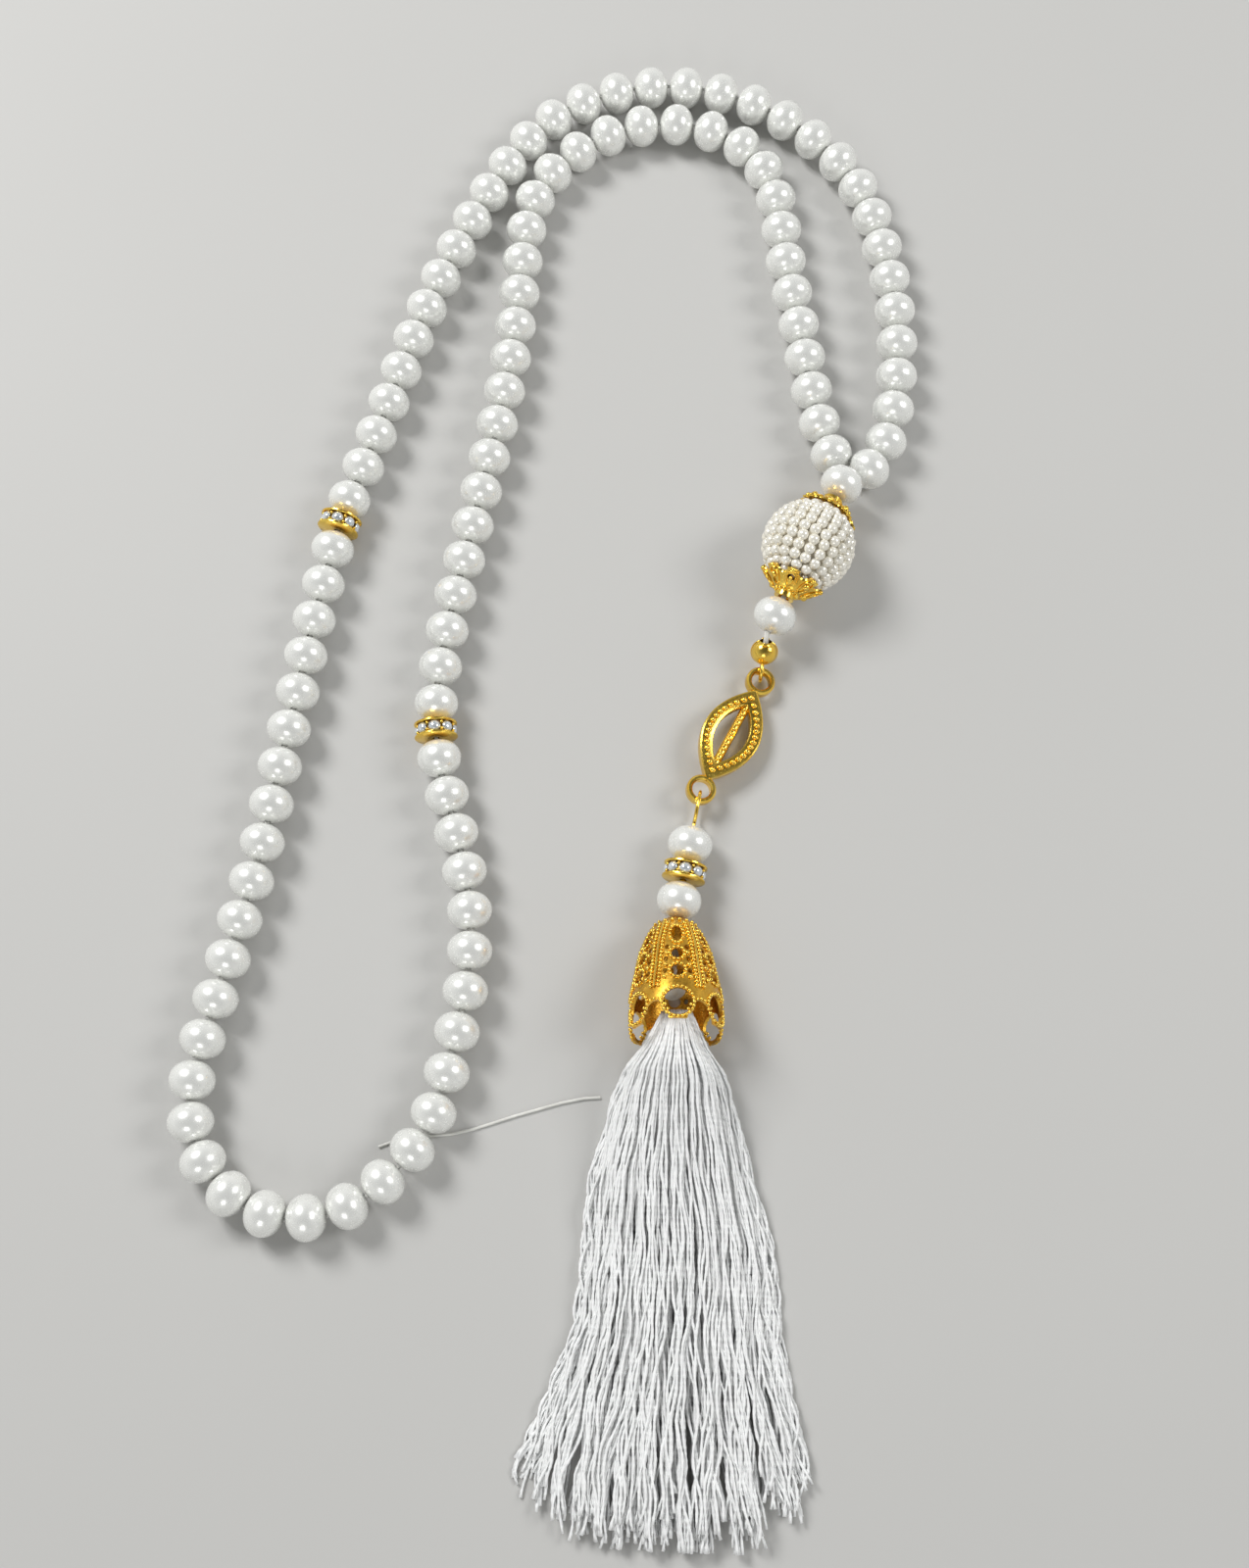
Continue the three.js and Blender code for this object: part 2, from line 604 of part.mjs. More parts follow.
function eyePin() {
  const sideways = new THREE.Vector3().crossVectors(pinAway, upright).normalize();
  const upwards = new THREE.Vector3().crossVectors(sideways, pinAway);
  const pinBasis = new THREE.Matrix4().makeBasis(pinAway, upwards, sideways);
  const oval = new THREE.Matrix4().makeScale(1, eyeHalfWidth / eyeHalfLength, 1);
  const eye = solid(new THREE.TorusGeometry(eyeHalfLength, wireRadius, 6, 18),
    pinBasis.clone().setPosition(onPin(eyeCentre)).multiply(oval));
  const shaft = solid(rodAlong([onPin(eyeEnd - wireRadius), onPin(pinEnd)], wireRadius, 8));
  const hanger = solid(new THREE.TorusGeometry(hangerRadius, wireRadius, 6, 14),
    pinBasis.clone().setPosition(onPin(pinEnd + hangerRadius)));
  return geometryOf(eye.add(shaft).add(hanger));
}

piece('eye_pin', eyePin(), gold);

// ---------------------------------------------------------------- the filigree cone

// The cone lies on its side: its neck is at the pin's height, its belly rests on the table.
const coneTop = onPin(coneStart);
const coneMouthHeight = Math.max(...coneShape.slice(2).map(([t, r]) =>
  coneTop.z + (r * coneRadius - coneTop.z) / t));
const coneMouth = step(coneTop, headings.cone, coneLength, coneMouthHeight);
const coneAxis = coneMouth.clone().sub(coneTop).normalize();

function filigreeCone() {
  const outside = coneShape.map(([t, r]) => [r * coneRadius, t * coneLength]);
  const shoulder = outside[1];
  const inside = [[shoulder[0] - coneWall, shoulder[1] + coneWall],
    ...outside.slice(2).map(([r, y]) => [r - coneWall, y])];
  const floor = [[outside[0][0] - coneNeckEase, coneWall], [coneBore, coneWall], [coneBore, 0]];
  let cone = solid(turned([...outside, ...inside.reverse(), ...floor], 4 * coneLobes));
  for (let i = 0; i < coneLobes; i += 1) {
    const turn = new THREE.Matrix4().makeRotationY((2 * Math.PI * (i + 0.5)) / coneLobes);
    const lobe = new THREE.CylinderGeometry(lobeRadius, lobeRadius, coneRadius, 10)
      .rotateX(Math.PI / 2).translate(0, lobePlace, coneRadius);
    const slot = new THREE.CylinderGeometry(slotRadius, slotRadius, coneRadius, 8)
      .rotateX(Math.PI / 2).scale(1, slotStretch, 1).translate(0, slotPlace, coneRadius);
    cone = cone.subtract(solid(lobe, turn)).subtract(solid(slot, turn));
  }
  return geometryOf(cone);
}

piece('filigree_cone', filigreeCone(), gold, along(coneTop, coneAxis));

// ---------------------------------------------------------------- the tassel

// The tassel's bound head hangs by a loop in the pin's lower eye, inside the cone.
const tasselNeck = mix(coneTop, coneMouth, tasselNeckPlace);
const loopTop = onPin(pinEnd + 2 * hangerRadius - 2 * wireRadius);

function tasselHead() {
  const aim = tasselNeck.clone().sub(loopTop).normalize();
  const flat = new THREE.Vector3().crossVectors(aim, upright).normalize();
  const normal = new THREE.Vector3().crossVectors(aim, flat);
  const loopCentre = loopTop.clone()
    .addScaledVector(aim, tasselLoopRadius - tasselLoopHang);
  const place = new THREE.Matrix4().makeBasis(aim, flat, normal).setPosition(loopCentre);
  const loop = solid(new THREE.TorusGeometry(tasselLoopRadius, tasselLoopWire, 6, 14), place);
  const headReach = tasselLoopRadius + tasselHeadRadius * tasselHeadShape[1][0];
  const headMiddle = loopCentre.clone().addScaledVector(aim, headReach);
  const outline = tasselHeadShape.map(([r, y]) => [r * tasselHeadRadius, y * tasselHeadRadius]);
  const bound = turned(outline, 12);
  return geometryOf(loop.add(solid(bound, along(headMiddle, aim))));
}

piece('tassel_head', tasselHead(), thread);

// The hank: distance from the cone's mouth, half width, underside and top above the table.
const hankSections = [
  [-3.4, 2.6, 6.6, 11.8], [0.6, 4.7, 4.6, 13.8], [4, 7.2, 1.8, 13.6], [9, 10.0, 0, 12.0],
  [16, 12.6, 0, 9.6], [24, 14.8, 0, 7.8], [36, 16.2, 0, 6.6], [50, 17.4, 0, 5.8],
  [64, 20.0, 0, 5.2], [tasselLength - tasselTipLength, 21.6, 0, 4.6], [tasselLength, 20.6, 0, 3.8],
];

function hank() {
  const sides = 14;
  const round = (value) => Math.sign(value) * Math.abs(value) ** hankSquareness;
  const corners = [];
  const away = heading(headings.tassel);
  const across = new THREE.Vector3(away.y, -away.x, 0);
  for (const [out, half, low, high] of hankSections) {
    for (let k = 0; k < sides; k += 1) {
      const angle = (2 * Math.PI * (k + 0.5)) / sides;
      const x = half * round(Math.cos(angle));
      const level = Math.min(1, Math.max(-1, round(Math.sin(angle)) * hankFlatness));
      const z = low + ((high - low) * (level + 1)) / 2;
      corners.push(new THREE.Vector3(coneMouth.x, coneMouth.y, 0)
        .addScaledVector(away, out).addScaledVector(across, x).setZ(z));
    }
  }
  return skin(corners, sides, hankSections.length);
}

piece('tassel_hank', hank(), silk);

// ---------------------------------------------------------------- the stray thread

// One pulled thread lies from the tassel's shoulder to the toe, under the gap of two pearls.
const strayRoute = [
  [-1.8, 37.4], [-4.6, 37.1], [-8.4, 36.2], [-12.4, 34.9], [-16.4, 33.6], [-20.2, 32.2],
  [-23.8, 30.9], [-27.2, 30.0], [-30.4, 29.6], [-33.4, 29.3], [-36.6, 28.6], [-39.4, 27.4],
];
const stray = new THREE.CatmullRomCurve3(strayRoute.map(([x, y]) =>
  new THREE.Vector3(x - origin[0], y - origin[1], strayRadius + strayLift)), false, 'centripetal');
const strayRing = new THREE.Shape().absarc(0, 0, strayRadius, 0, 2 * Math.PI);
piece('stray_thread', new THREE.ExtrudeGeometry(strayRing, {
  steps: 26, extrudePath: stray, bevelEnabled: false, curveSegments: 4,
}), thread);

// ---------------------------------------------------------------- hinge places

misbaha.userData.pivots = {
  ...pivots,
  junction: { point: junction },
  pendantLift: {
    point: junction.clone().addScaledVector(towardsBall, pearlLength / 2 + clearance / 2),
    axis: new THREE.Vector3().crossVectors(towardsBall, upright),
  },
  upperCap: { point: upperCapEnd, axis: towardsBall },
  ball: { point: ball, axis: ballAxis },
  lowerCap: { point: lowerCapEnd, axis: towardsImam },
  imam: { point: imam, axis: towardsImam },
  charmRing: { point: charmRing },
  pinLift: {
    point: onPin(barRadius),
    axis: new THREE.Vector3().crossVectors(pinAway, upright),
  },
  pinPearlUpper: { point: onPin(pinPearlUpper), axis: pinAway },
  pinDivider: { point: onPin(pinDivider), axis: pinAway },
  pinPearlLower: { point: onPin(pinPearlLower), axis: pinAway },
  cone: { point: coneTop, axis: coneAxis },
  tasselLoop: { point: loopTop }, // where the tassel's loop hangs in the pin's lower eye
};
misbaha.userData.routeScale = routeScale;

export default misbaha;
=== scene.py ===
"""Dresses a string of prayer beads: glass pearls, gilt findings, stones and a thread tassel."""

import json
import logging
import math
from dataclasses import dataclass
from enum import Enum
from typing import Callable, Iterable, Sequence

import bpy
import numpy as np
from mathutils import Matrix, Vector


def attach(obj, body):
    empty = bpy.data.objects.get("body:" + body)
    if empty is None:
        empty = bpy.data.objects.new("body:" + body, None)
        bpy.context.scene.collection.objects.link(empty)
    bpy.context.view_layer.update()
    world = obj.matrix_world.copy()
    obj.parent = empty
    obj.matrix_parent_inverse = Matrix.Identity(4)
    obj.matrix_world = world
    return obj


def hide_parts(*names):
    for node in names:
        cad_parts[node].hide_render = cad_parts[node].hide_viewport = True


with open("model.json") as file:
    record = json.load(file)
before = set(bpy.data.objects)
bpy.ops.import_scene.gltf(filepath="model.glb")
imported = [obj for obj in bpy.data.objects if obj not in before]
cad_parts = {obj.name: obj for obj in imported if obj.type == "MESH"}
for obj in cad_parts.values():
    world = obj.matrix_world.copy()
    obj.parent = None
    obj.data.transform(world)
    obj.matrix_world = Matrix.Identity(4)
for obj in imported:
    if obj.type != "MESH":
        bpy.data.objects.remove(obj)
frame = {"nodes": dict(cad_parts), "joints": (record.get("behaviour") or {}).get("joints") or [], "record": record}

log = logging.getLogger("prayer_beads")

MM = 0.001
SEED = 33

Colour = tuple[float, float, float]
Outline = Sequence[tuple[float, float]]


class Slot(Enum):
    """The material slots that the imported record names."""

    PEARL = "pearl_glaze"
    SEED = "seed_pearl"
    GOLD = "polished_gold"
    STONE = "rhinestone"
    STRING = "string"
    SILK = "tassel_silk"


class Pattern(Enum):
    """What gives a finish its relief."""

    MOTTLE = "mottle"
    FACET = "facet"
    TWIST = "twist"


# ------------------------------------------------------------------ modelling helpers (mm)


def deselect_everything() -> None:
    """Leaves edit mode and clears the selection."""
    if bpy.context.mode != "OBJECT":
        bpy.ops.object.mode_set(mode="OBJECT")
    bpy.ops.object.select_all(action="DESELECT")


def select_only(obj: bpy.types.Object) -> None:
    """Makes one object the active and only selected one.

    Args:
        obj: The object to select.
    """
    deselect_everything()
    bpy.context.view_layer.objects.active = obj
    obj.select_set(True)


def open_mesh(obj: bpy.types.Object) -> None:
    """Enters edit mode on one object with nothing picked.

    Args:
        obj: The mesh object to edit.
    """
    select_only(obj)
    bpy.ops.object.mode_set(mode="EDIT")
    bpy.ops.mesh.select_mode(type="VERT")
    bpy.ops.mesh.select_all(action="DESELECT")


def pick(obj: bpy.types.Object, chosen: Callable[[Vector], bool]) -> None:
    """Selects the vertices of the open mesh whose place passes a test.

    Args:
        obj: The mesh object that is open.
        chosen: Tells whether a place is selected.
    """
    bpy.ops.mesh.select_all(action="DESELECT")
    bpy.ops.object.mode_set(mode="OBJECT")
    for vertex in obj.data.vertices:
        vertex.select = chosen(vertex.co)
    bpy.ops.object.mode_set(mode="EDIT")


def close_mesh(angle: float = 40.0) -> bpy.types.Object:
    """Turns the faces outwards, leaves edit mode and smooths what is not a sharp edge.

    Args:
        angle: Edges sharper than this many degrees stay sharp.

    Returns:
        The finished mesh object.
    """
    bpy.ops.mesh.select_all(action="SELECT")
    bpy.ops.mesh.normals_make_consistent(inside=False)
    bpy.ops.object.mode_set(mode="OBJECT")
    obj = bpy.context.object
    bpy.ops.object.shade_smooth_by_angle(angle=math.radians(angle))
    return obj


def turned(name: str, outline: Outline, segments: int) -> bpy.types.Object:
    """Turns a bored piece about Z, ring by ring, and joins the last ring to the first.

    Args:
        name: The object's name.
        outline: Radius and height of each ring, up the outside and back through the bore.
        segments: Corners of each ring.

    Returns:
        The closed mesh object, in millimetres.
    """
    deselect_everything()
    radius, height = outline[0]
    bpy.ops.mesh.primitive_circle_add(vertices=segments, radius=radius, location=(0, 0, height))
    bpy.ops.object.transform_apply(location=True, rotation=False, scale=False)
    obj = bpy.context.object
    obj.name = name
    bpy.ops.object.mode_set(mode="EDIT")
    bpy.ops.mesh.select_all(action="SELECT")
    for r, z in outline[1:]:
        bpy.ops.mesh.extrude_region_move(TRANSFORM_OT_translate={"value": (0, 0, z - height)})
        share = r / radius
        bpy.ops.transform.resize(value=(share, share, 1), center_override=(0, 0, z))
        radius, height = r, z
    bpy.ops.mesh.select_all(action="DESELECT")
    bpy.ops.mesh.select_non_manifold()
    bpy.ops.mesh.bridge_edge_loops()
    return close_mesh()


def plate(name: str, outline: Outline, thickness: float) -> bpy.types.Object:
    """Raises a flat plate from a closed outline, centred on its own plane.

    Args:
        name: The object's name.
        outline: The corners in order.
        thickness: The height of the plate.

    Returns:
        The closed mesh object, in millimetres.
    """
    deselect_everything()
    bpy.ops.mesh.primitive_circle_add(vertices=len(outline), radius=1, fill_type="NGON")
    obj = bpy.context.object
    obj.name = name
    for vertex, (x, y) in zip(obj.data.vertices, outline):
        vertex.co = (x, y, -thickness / 2)
    open_mesh(obj)
    bpy.ops.mesh.select_all(action="SELECT")
    bpy.ops.mesh.extrude_region_move(TRANSFORM_OT_translate={"value": (0, 0, thickness)})
    return close_mesh()


def wire(name: str, points: Iterable[Sequence[float]], radius: float, cyclic: bool = False,
         resolution: int = 2) -> bpy.types.Object:
    """Draws a round wire through points and makes it a mesh.

    Args:
        name: The object's name.
        points: The places that the wire passes, in millimetres.
        radius: The wire's radius.
        cyclic: Whether the wire closes on itself.
        resolution: How finely the wire is rounded.

    Returns:
        The mesh object.
    """
    deselect_everything()
    curve = bpy.data.curves.new(name, "CURVE")
    curve.dimensions = "3D"
    curve.bevel_depth = radius
    curve.bevel_resolution = resolution
    curve.use_fill_caps = not cyclic
    places = [tuple(p) for p in points]
    spline = curve.splines.new("POLY")
    spline.points.add(len(places) - 1)
    for point, place in zip(spline.points, places):
        point.co = (*place, 1)
    spline.use_cyclic_u = cyclic
    obj = bpy.data.objects.new(name, curve)
    bpy.context.scene.collection.objects.link(obj)
    select_only(obj)
    bpy.ops.object.convert(target="MESH")
    open_mesh(bpy.context.object)
    return close_mesh(60)


def cut(obj: bpy.types.Object, cutters: Sequence[bpy.types.Object]) -> None:
    """Takes cutters away from a piece in one exact boolean, and removes them.

    Args:
        obj: The piece that is cut.
        cutters: The solids that are taken away.
    """
    tool = join(cutters)
    select_only(obj)
    modifier = obj.modifiers.new("cut", "BOOLEAN")
    modifier.operation = "DIFFERENCE"
    modifier.solver = "EXACT"
    modifier.use_self = True
    modifier.object = tool
    bpy.ops.object.modifier_apply(modifier=modifier.name)
    bpy.data.objects.remove(tool)


def ease_edges(obj: bpy.types.Object, width: float) -> None:
    """Rounds the sharp edges of a piece.

    Args:
        obj: The piece.
        width: How wide the rounding is.
    """
    select_only(obj)
    modifier = obj.modifiers.new("ease", "BEVEL")
    modifier.width = width
    modifier.segments = 2
    modifier.limit_method = "ANGLE"
    modifier.angle_limit = math.radians(50)
    bpy.ops.object.modifier_apply(modifier=modifier.name)
    bpy.ops.object.shade_smooth_by_angle(angle=math.radians(40))


def join(parts: Sequence[bpy.types.Object]) -> bpy.types.Object:
    """Joins several mesh objects into the first.

    Args:
        parts: The objects to join.

    Returns:
        The joined object.
    """
    select_only(parts[0])
    for part in parts:
        part.select_set(True)
    if len(parts) > 1:
        bpy.ops.object.join()
    return bpy.context.object


def copied(master: bpy.types.Object, name: str, place: Matrix) -> bpy.types.Object:
    """Copies a modelled piece, with a mesh of its own, to a place.

    Args:
        master: The piece that is copied.
        name: The copy's name.
        place: Where it goes, in millimetres.

    Returns:
        The copy.
    """
    mesh = master.data.copy()
    mesh.transform(place)
    obj = bpy.data.objects.new(name, mesh)
    bpy.context.scene.collection.objects.link(obj)
    return obj


def scattered(master: bpy.types.Object, name: str,
              places: Sequence[Matrix]) -> bpy.types.Object:
    """Repeats a small piece at many places in one mesh.

    Args:
        master: The small piece.
        name: The object's name.
        places: Where each copy goes, in millimetres.

    Returns:
        The object that holds all the copies.
    """
    corners = [vertex.co.copy() for vertex in master.data.vertices]
    faces = [tuple(polygon.vertices) for polygon in master.data.polygons]
    vertices: list[Vector] = []
    polygons: list[tuple[int, ...]] = []
    for place in places:
        start = len(vertices)
        vertices.extend(place @ corner for corner in corners)
        polygons.extend(tuple(start + i for i in face) for face in faces)
    mesh = bpy.data.meshes.new(name)
    mesh.from_pydata(vertices, [], polygons)
    smooth = master.data.polygons[0].use_smooth
    mesh.polygons.foreach_set("use_smooth", [smooth] * len(polygons))
    obj = bpy.data.objects.new(name, mesh)
    bpy.context.scene.collection.objects.link(obj)
    return obj


def drop(*masters: bpy.types.Object) -> None:
    """Removes masters that are no longer needed.

    Args:
        masters: The objects to remove.
    """
    for master in masters:
        bpy.data.objects.remove(master)


def aim(point: Sequence[float], direction: Sequence[float]) -> Matrix:
    """Places local Z along a direction with local Y as high as it goes.

    Args:
        point: The origin of the place.
        direction: Where local Z points.

    Returns:
        The place as a matrix.
    """
    forward = Vector(direction).normalized()
    side = Vector((0, 0, 1)).cross(forward)
    side = side.normalized() if side.length > 1e-6 else Vector((1, 0, 0))
    up = forward.cross(side)
    turn = Matrix((side, up, forward)).transposed().to_4x4()
    return Matrix.Translation(point) @ turn


def at(point: Sequence[float], size: float = 1.0) -> Matrix:
    """A place with no turn, at a size.

    Args:
        point: The place, in millimetres.
        size: How many times its own size the piece has there.

    Returns:
        The place as a matrix.
    """
    return Matrix.Translation(point) @ Matrix.Scale(size, 4)


def granule() -> bpy.types.Object:
    """Models one small ball of granulation, a millimetre in radius.

    Returns:
        The ball.
    """
    deselect_everything()
    bpy.ops.mesh.primitive_uv_sphere_add(segments=9, ring_count=5, radius=1)
    bpy.ops.object.shade_smooth()
    return bpy.context.object


def mix(a: float, b: float, t: float) -> float:
    """The value a share of the way from one number to another.

    Args:
        a: The first number.
        b: The other number.
        t: The share of the way, 0 at the first.

    Returns:
        The value there.
    """
    return a + (b - a) * t


def interpolated(rows: Outline, at_value: float) -> float:
    """Reads a value off a list of pairs.

    Args:
        rows: Pairs in rising order of the first number.
        at_value: The first number.

    Returns:
        The second number there.
    """
    return float(np.interp(at_value, [row[0] for row in rows], [row[1] for row in rows]))


# ------------------------------------------------------------------ shared shading groups


def new_group(name: str, inputs: Sequence[tuple[str, float]],
              outputs: Sequence[str]) -> bpy.types.NodeTree:
    """Makes an empty shader node group with named number sockets.

    Args:
        name: The group's name.
        inputs: Name and usual value of each input.
        outputs: Name of each output.

    Returns:
        The group, with its Group Input and Group Output nodes.
    """
    group = bpy.data.node_groups.new(name, "ShaderNodeTree")
    for label, value in inputs:
        socket = group.interface.new_socket(name=label, in_out="INPUT",
                                            socket_type="NodeSocketFloat")
        socket.default_value = value
    for label in outputs:
        group.interface.new_socket(name=label, in_out="OUTPUT", socket_type="NodeSocketFloat")
    group.nodes.new("NodeGroupInput").name = "in"
    group.nodes.new("NodeGroupOutput").name = "out"
    return group


class SharedEffects:
    """The node groups that more than one finish uses, each built once."""

    def __init__(self) -> None:
        """Builds the groups."""
        self.mottle = self._build_mottle()
        self.twist = self._build_twist()

    @staticmethod
    def _build_mottle() -> bpy.types.NodeTree:
        """Builds broad clouds and fine unevenness over a surface.

        Returns:
            The group, with Clouds and Fine from 0 to 1.
        """
        group = new_group("surface_mottle", [("Cloud Scale", 300), ("Fine Scale", 2500)],
                          ["Clouds", "Fine"])
        place = group.nodes.new("ShaderNodeTexCoord")
        for scale, output, detail in (("Cloud Scale", "Clouds", 3), ("Fine Scale", "Fine", 4)):
            noise = group.nodes.new("ShaderNodeTexNoise")
            noise.inputs["Detail"].default_value = detail
            spread = group.nodes.new("ShaderNodeMapRange")
            spread.inputs["From Min"].default_value = 0.3
            spread.inputs["From Max"].default_value = 0.7
            group.links.new(place.outputs["Object"], noise.inputs["Vector"])
            group.links.new(group.nodes["in"].outputs[scale], noise.inputs["Scale"])
            group.links.new(noise.outputs["Fac"], spread.inputs["Value"])
            group.links.new(spread.outputs["Result"], group.nodes["out"].inputs[output])
        return group

    @staticmethod
    def _build_twist() -> bpy.types.NodeTree:
        """Builds the slanting plies of a twisted thread from its UV map.

        Returns:
            The group, with Plies from 0 in the grooves to 1 on the crests.
        """
        group = new_group("thread_twist", [("Ply Scale", 1.0)], ["Plies"])
        place = group.nodes.new("ShaderNodeTexCoord")
        wave = group.nodes.new("ShaderNodeTexWave")
        wave.bands_direction = "DIAGONAL"
        wave.inputs["Distortion"].default_value = 0.4
        group.links.new(place.outputs["UV"], wave.inputs["Vector"])
        group.links.new(group.nodes["in"].outputs["Ply Scale"], wave.inputs["Scale"])
        group.links.new(wave.outputs["Fac"], group.nodes["out"].inputs["Plies"])
        return group


# ------------------------------------------------------------------ finishes


@dataclass(frozen=True)
class Finish:
    """A worked surface: two tones, a range of gloss and a relief."""

    name: str
    slot: Slot
    light: Colour
    deep: Colour
    rough: tuple[float, float]
    relief: float
    relief_depth: float = 0.00003
    clouds: float = 300.0
    fine: float = 2500.0
    pattern: Pattern = Pattern.MOTTLE
    ply_scale: float = 1.0
    metallic: float = 0.0
    coat: float = 0.0
    coat_roughness: float = 0.05
    subsurface: float = 0.0
    subsurface_depth: float = 0.002
    sheen: float = 0.0
    ior: float = 1.5

    def build(self, effects: SharedEffects) -> bpy.types.Material:
        """Builds the material.

        Args:
            effects: The shared node groups.

        Returns:
            The material.
        """
        material = bpy.data.materials.new(self.name)
        material.use_nodes = True
        nodes, links = material.node_tree.nodes, material.node_tree.links
        shader = nodes["Principled BSDF"]
        mottle = nodes.new("ShaderNodeGroup")
        mottle.node_tree = effects.mottle
        mottle.inputs["Cloud Scale"].default_value = self.clouds
        mottle.inputs["Fine Scale"].default_value = self.fine
        tone, relief = mottle.outputs["Clouds"], mottle.outputs["Fine"]
        if self.pattern is Pattern.TWIST:
            twist = nodes.new("ShaderNodeGroup")
            twist.node_tree = effects.twist
            twist.inputs["Ply Scale"].default_value = self.ply_scale
            relief = twist.outputs["Plies"]
            # Painted shade: the ply grooves take the deep tone and the crests the light one, on top of the random
            # clouds.
            tone = self._groove_shade_painted(material, tone, relief)
        if self.pattern is Pattern.FACET:
            place = nodes.new("ShaderNodeTexCoord")
            cells = nodes.new("ShaderNodeTexVoronoi")
            cells.inputs["Scale"].default_value = self.clouds
            links.new(place.outputs["Object"], cells.inputs["Vector"])
            tone = cells.outputs["Distance"]
        colour = nodes.new("ShaderNodeMix")
        colour.data_type = "RGBA"
        colour.inputs["A"].default_value = (*self.light, 1)
        colour.inputs["B"].default_value = (*self.deep, 1)
        links.new(tone, colour.inputs["Factor"])
        links.new(colour.outputs["Result"], shader.inputs["Base Color"])
        gloss = nodes.new("ShaderNodeMapRange")
        gloss.inputs["To Min"].default_value, gloss.inputs["To Max"].default_value = self.rough
        links.new(mottle.outputs["Fine"], gloss.inputs["Value"])
        links.new(gloss.outputs["Result"], shader.inputs["Roughness"])
        bump = nodes.new("ShaderNodeBump")
        bump.inputs["Strength"].default_value = self.relief
        bump.inputs["Distance"].default_value = self.relief_depth
        links.new(relief, bump.inputs["Height"])
        links.new(bump.outputs["Normal"], shader.inputs["Normal"])
        shader.inputs["Metallic"].default_value = self.metallic
        shader.inputs["IOR"].default_value = self.ior
        shader.inputs["Coat Weight"].default_value = self.coat
        shader.inputs["Coat Roughness"].default_value = self.coat_roughness
        shader.inputs["Subsurface Weight"].default_value = self.subsurface
        shader.inputs["Subsurface Scale"].default_value = self.subsurface_depth
        shader.inputs["Sheen Weight"].default_value = self.sheen
        return material

    @staticmethod
    def _groove_shade_painted(material: bpy.types.Material, a: bpy.types.NodeSocket,
                    b: bpy.types.NodeSocket) -> bpy.types.NodeSocket:
        """Lowers one mask where another is high; on the thread this paints shade, the colour deep in the ply
        grooves and light on the crests.

        Args:
            material: The material that holds the nodes.
            a: The mask.
            b: The mask that lowers it.

        Returns:
            The combined mask.
        """
        away = material.node_tree.nodes.new("ShaderNodeMath")
        away.operation = "SUBTRACT"
        away.use_clamp = True
        both = material.node_tree.nodes.new("ShaderNodeMath")
        both.operation = "MULTIPLY_ADD"
        both.inputs[1].default_value = 0.5
        material.node_tree.links.new(a, both.inputs[0])
        both.inputs[2].default_value = 0.5
        material.node_tree.links.new(both.outputs[0], away.inputs[0])
        material.node_tree.links.new(b, away.inputs[1])
        return away.outputs[0]


class Palette:
    """Every finish of the beads, built as materials."""

    def __init__(self) -> None:
        """Builds the shared effects and the finishes."""
        effects = SharedEffects()
        self.pearl = Finish(
            "pearl_glaze", Slot.PEARL, (0.90, 0.905, 0.875), (0.87, 0.875, 0.845), (0.25, 0.28),
            0.006, metallic=0.35, coat=0.75, coat_roughness=0.07, clouds=180, ior=1.6).build(effects)
        self.seed = Finish(
            "seed_pearl", Slot.SEED, (0.93, 0.90, 0.82), (0.87, 0.83, 0.72), (0.2, 0.24),
            0.006, metallic=0.25, coat=0.8, clouds=500, ior=1.6).build(effects)
        self.ball_core = Finish(
            "ball_core", Slot.SEED, (0.52, 0.46, 0.34), (0.38, 0.33, 0.24), (0.5, 0.7),
            0.2).build(effects)
        self.gold = Finish(
            "polished_gold", Slot.GOLD, (1.0, 0.72, 0.14), (0.90, 0.55, 0.08), (0.12, 0.28),
            0.05, metallic=1.0, clouds=450, fine=3200).build(effects)
        # The shell's deeper gold is painted shade: it darkens the recesses between the cone's wires and granules.
        self.shell_gold_painted_shade = Finish(
            "shell_gold_painted_shade", Slot.GOLD, (0.86, 0.50, 0.07), (0.62, 0.33, 0.04), (0.22, 0.38),
            0.12, metallic=1.0, clouds=600).build(effects)
        # Painted shade: the gilt channel floor between the rims is darkened to stand for the shade that falls in
        # the channel.
        self.floor_gold_painted_shade = Finish(
            "channel_floor_painted_shade", Slot.GOLD, (0.42, 0.27, 0.07), (0.22, 0.14, 0.05), (0.35, 0.55),
            0.2, metallic=1.0).build(effects)
        self.stone = Finish(
            "foiled_rhinestone", Slot.STONE, (0.93, 0.96, 0.98), (0.55, 0.62, 0.68),
            (0.03, 0.08), 0.02, pattern=Pattern.FACET, clouds=1600, metallic=0.55, coat=1.0,
            coat_roughness=0.02, ior=1.6).build(effects)
        self.string = Finish(
            "white_string", Slot.STRING, (0.86, 0.86, 0.82), (0.66, 0.66, 0.62), (0.55, 0.75),
            0.5, relief_depth=0.00008, fine=5200, sheen=0.2).build(effects)
        # The silk's deep tone is painted shade in the ply grooves as well as random clouds.
        self.silk = Finish(
            "rayon_thread", Slot.SILK, (0.97, 0.975, 0.97), (0.91, 0.92, 0.92), (0.26, 0.42),
            0.08, relief_depth=0.00004, pattern=Pattern.TWIST, ply_scale=0.55,
            sheen=0.6).build(effects)


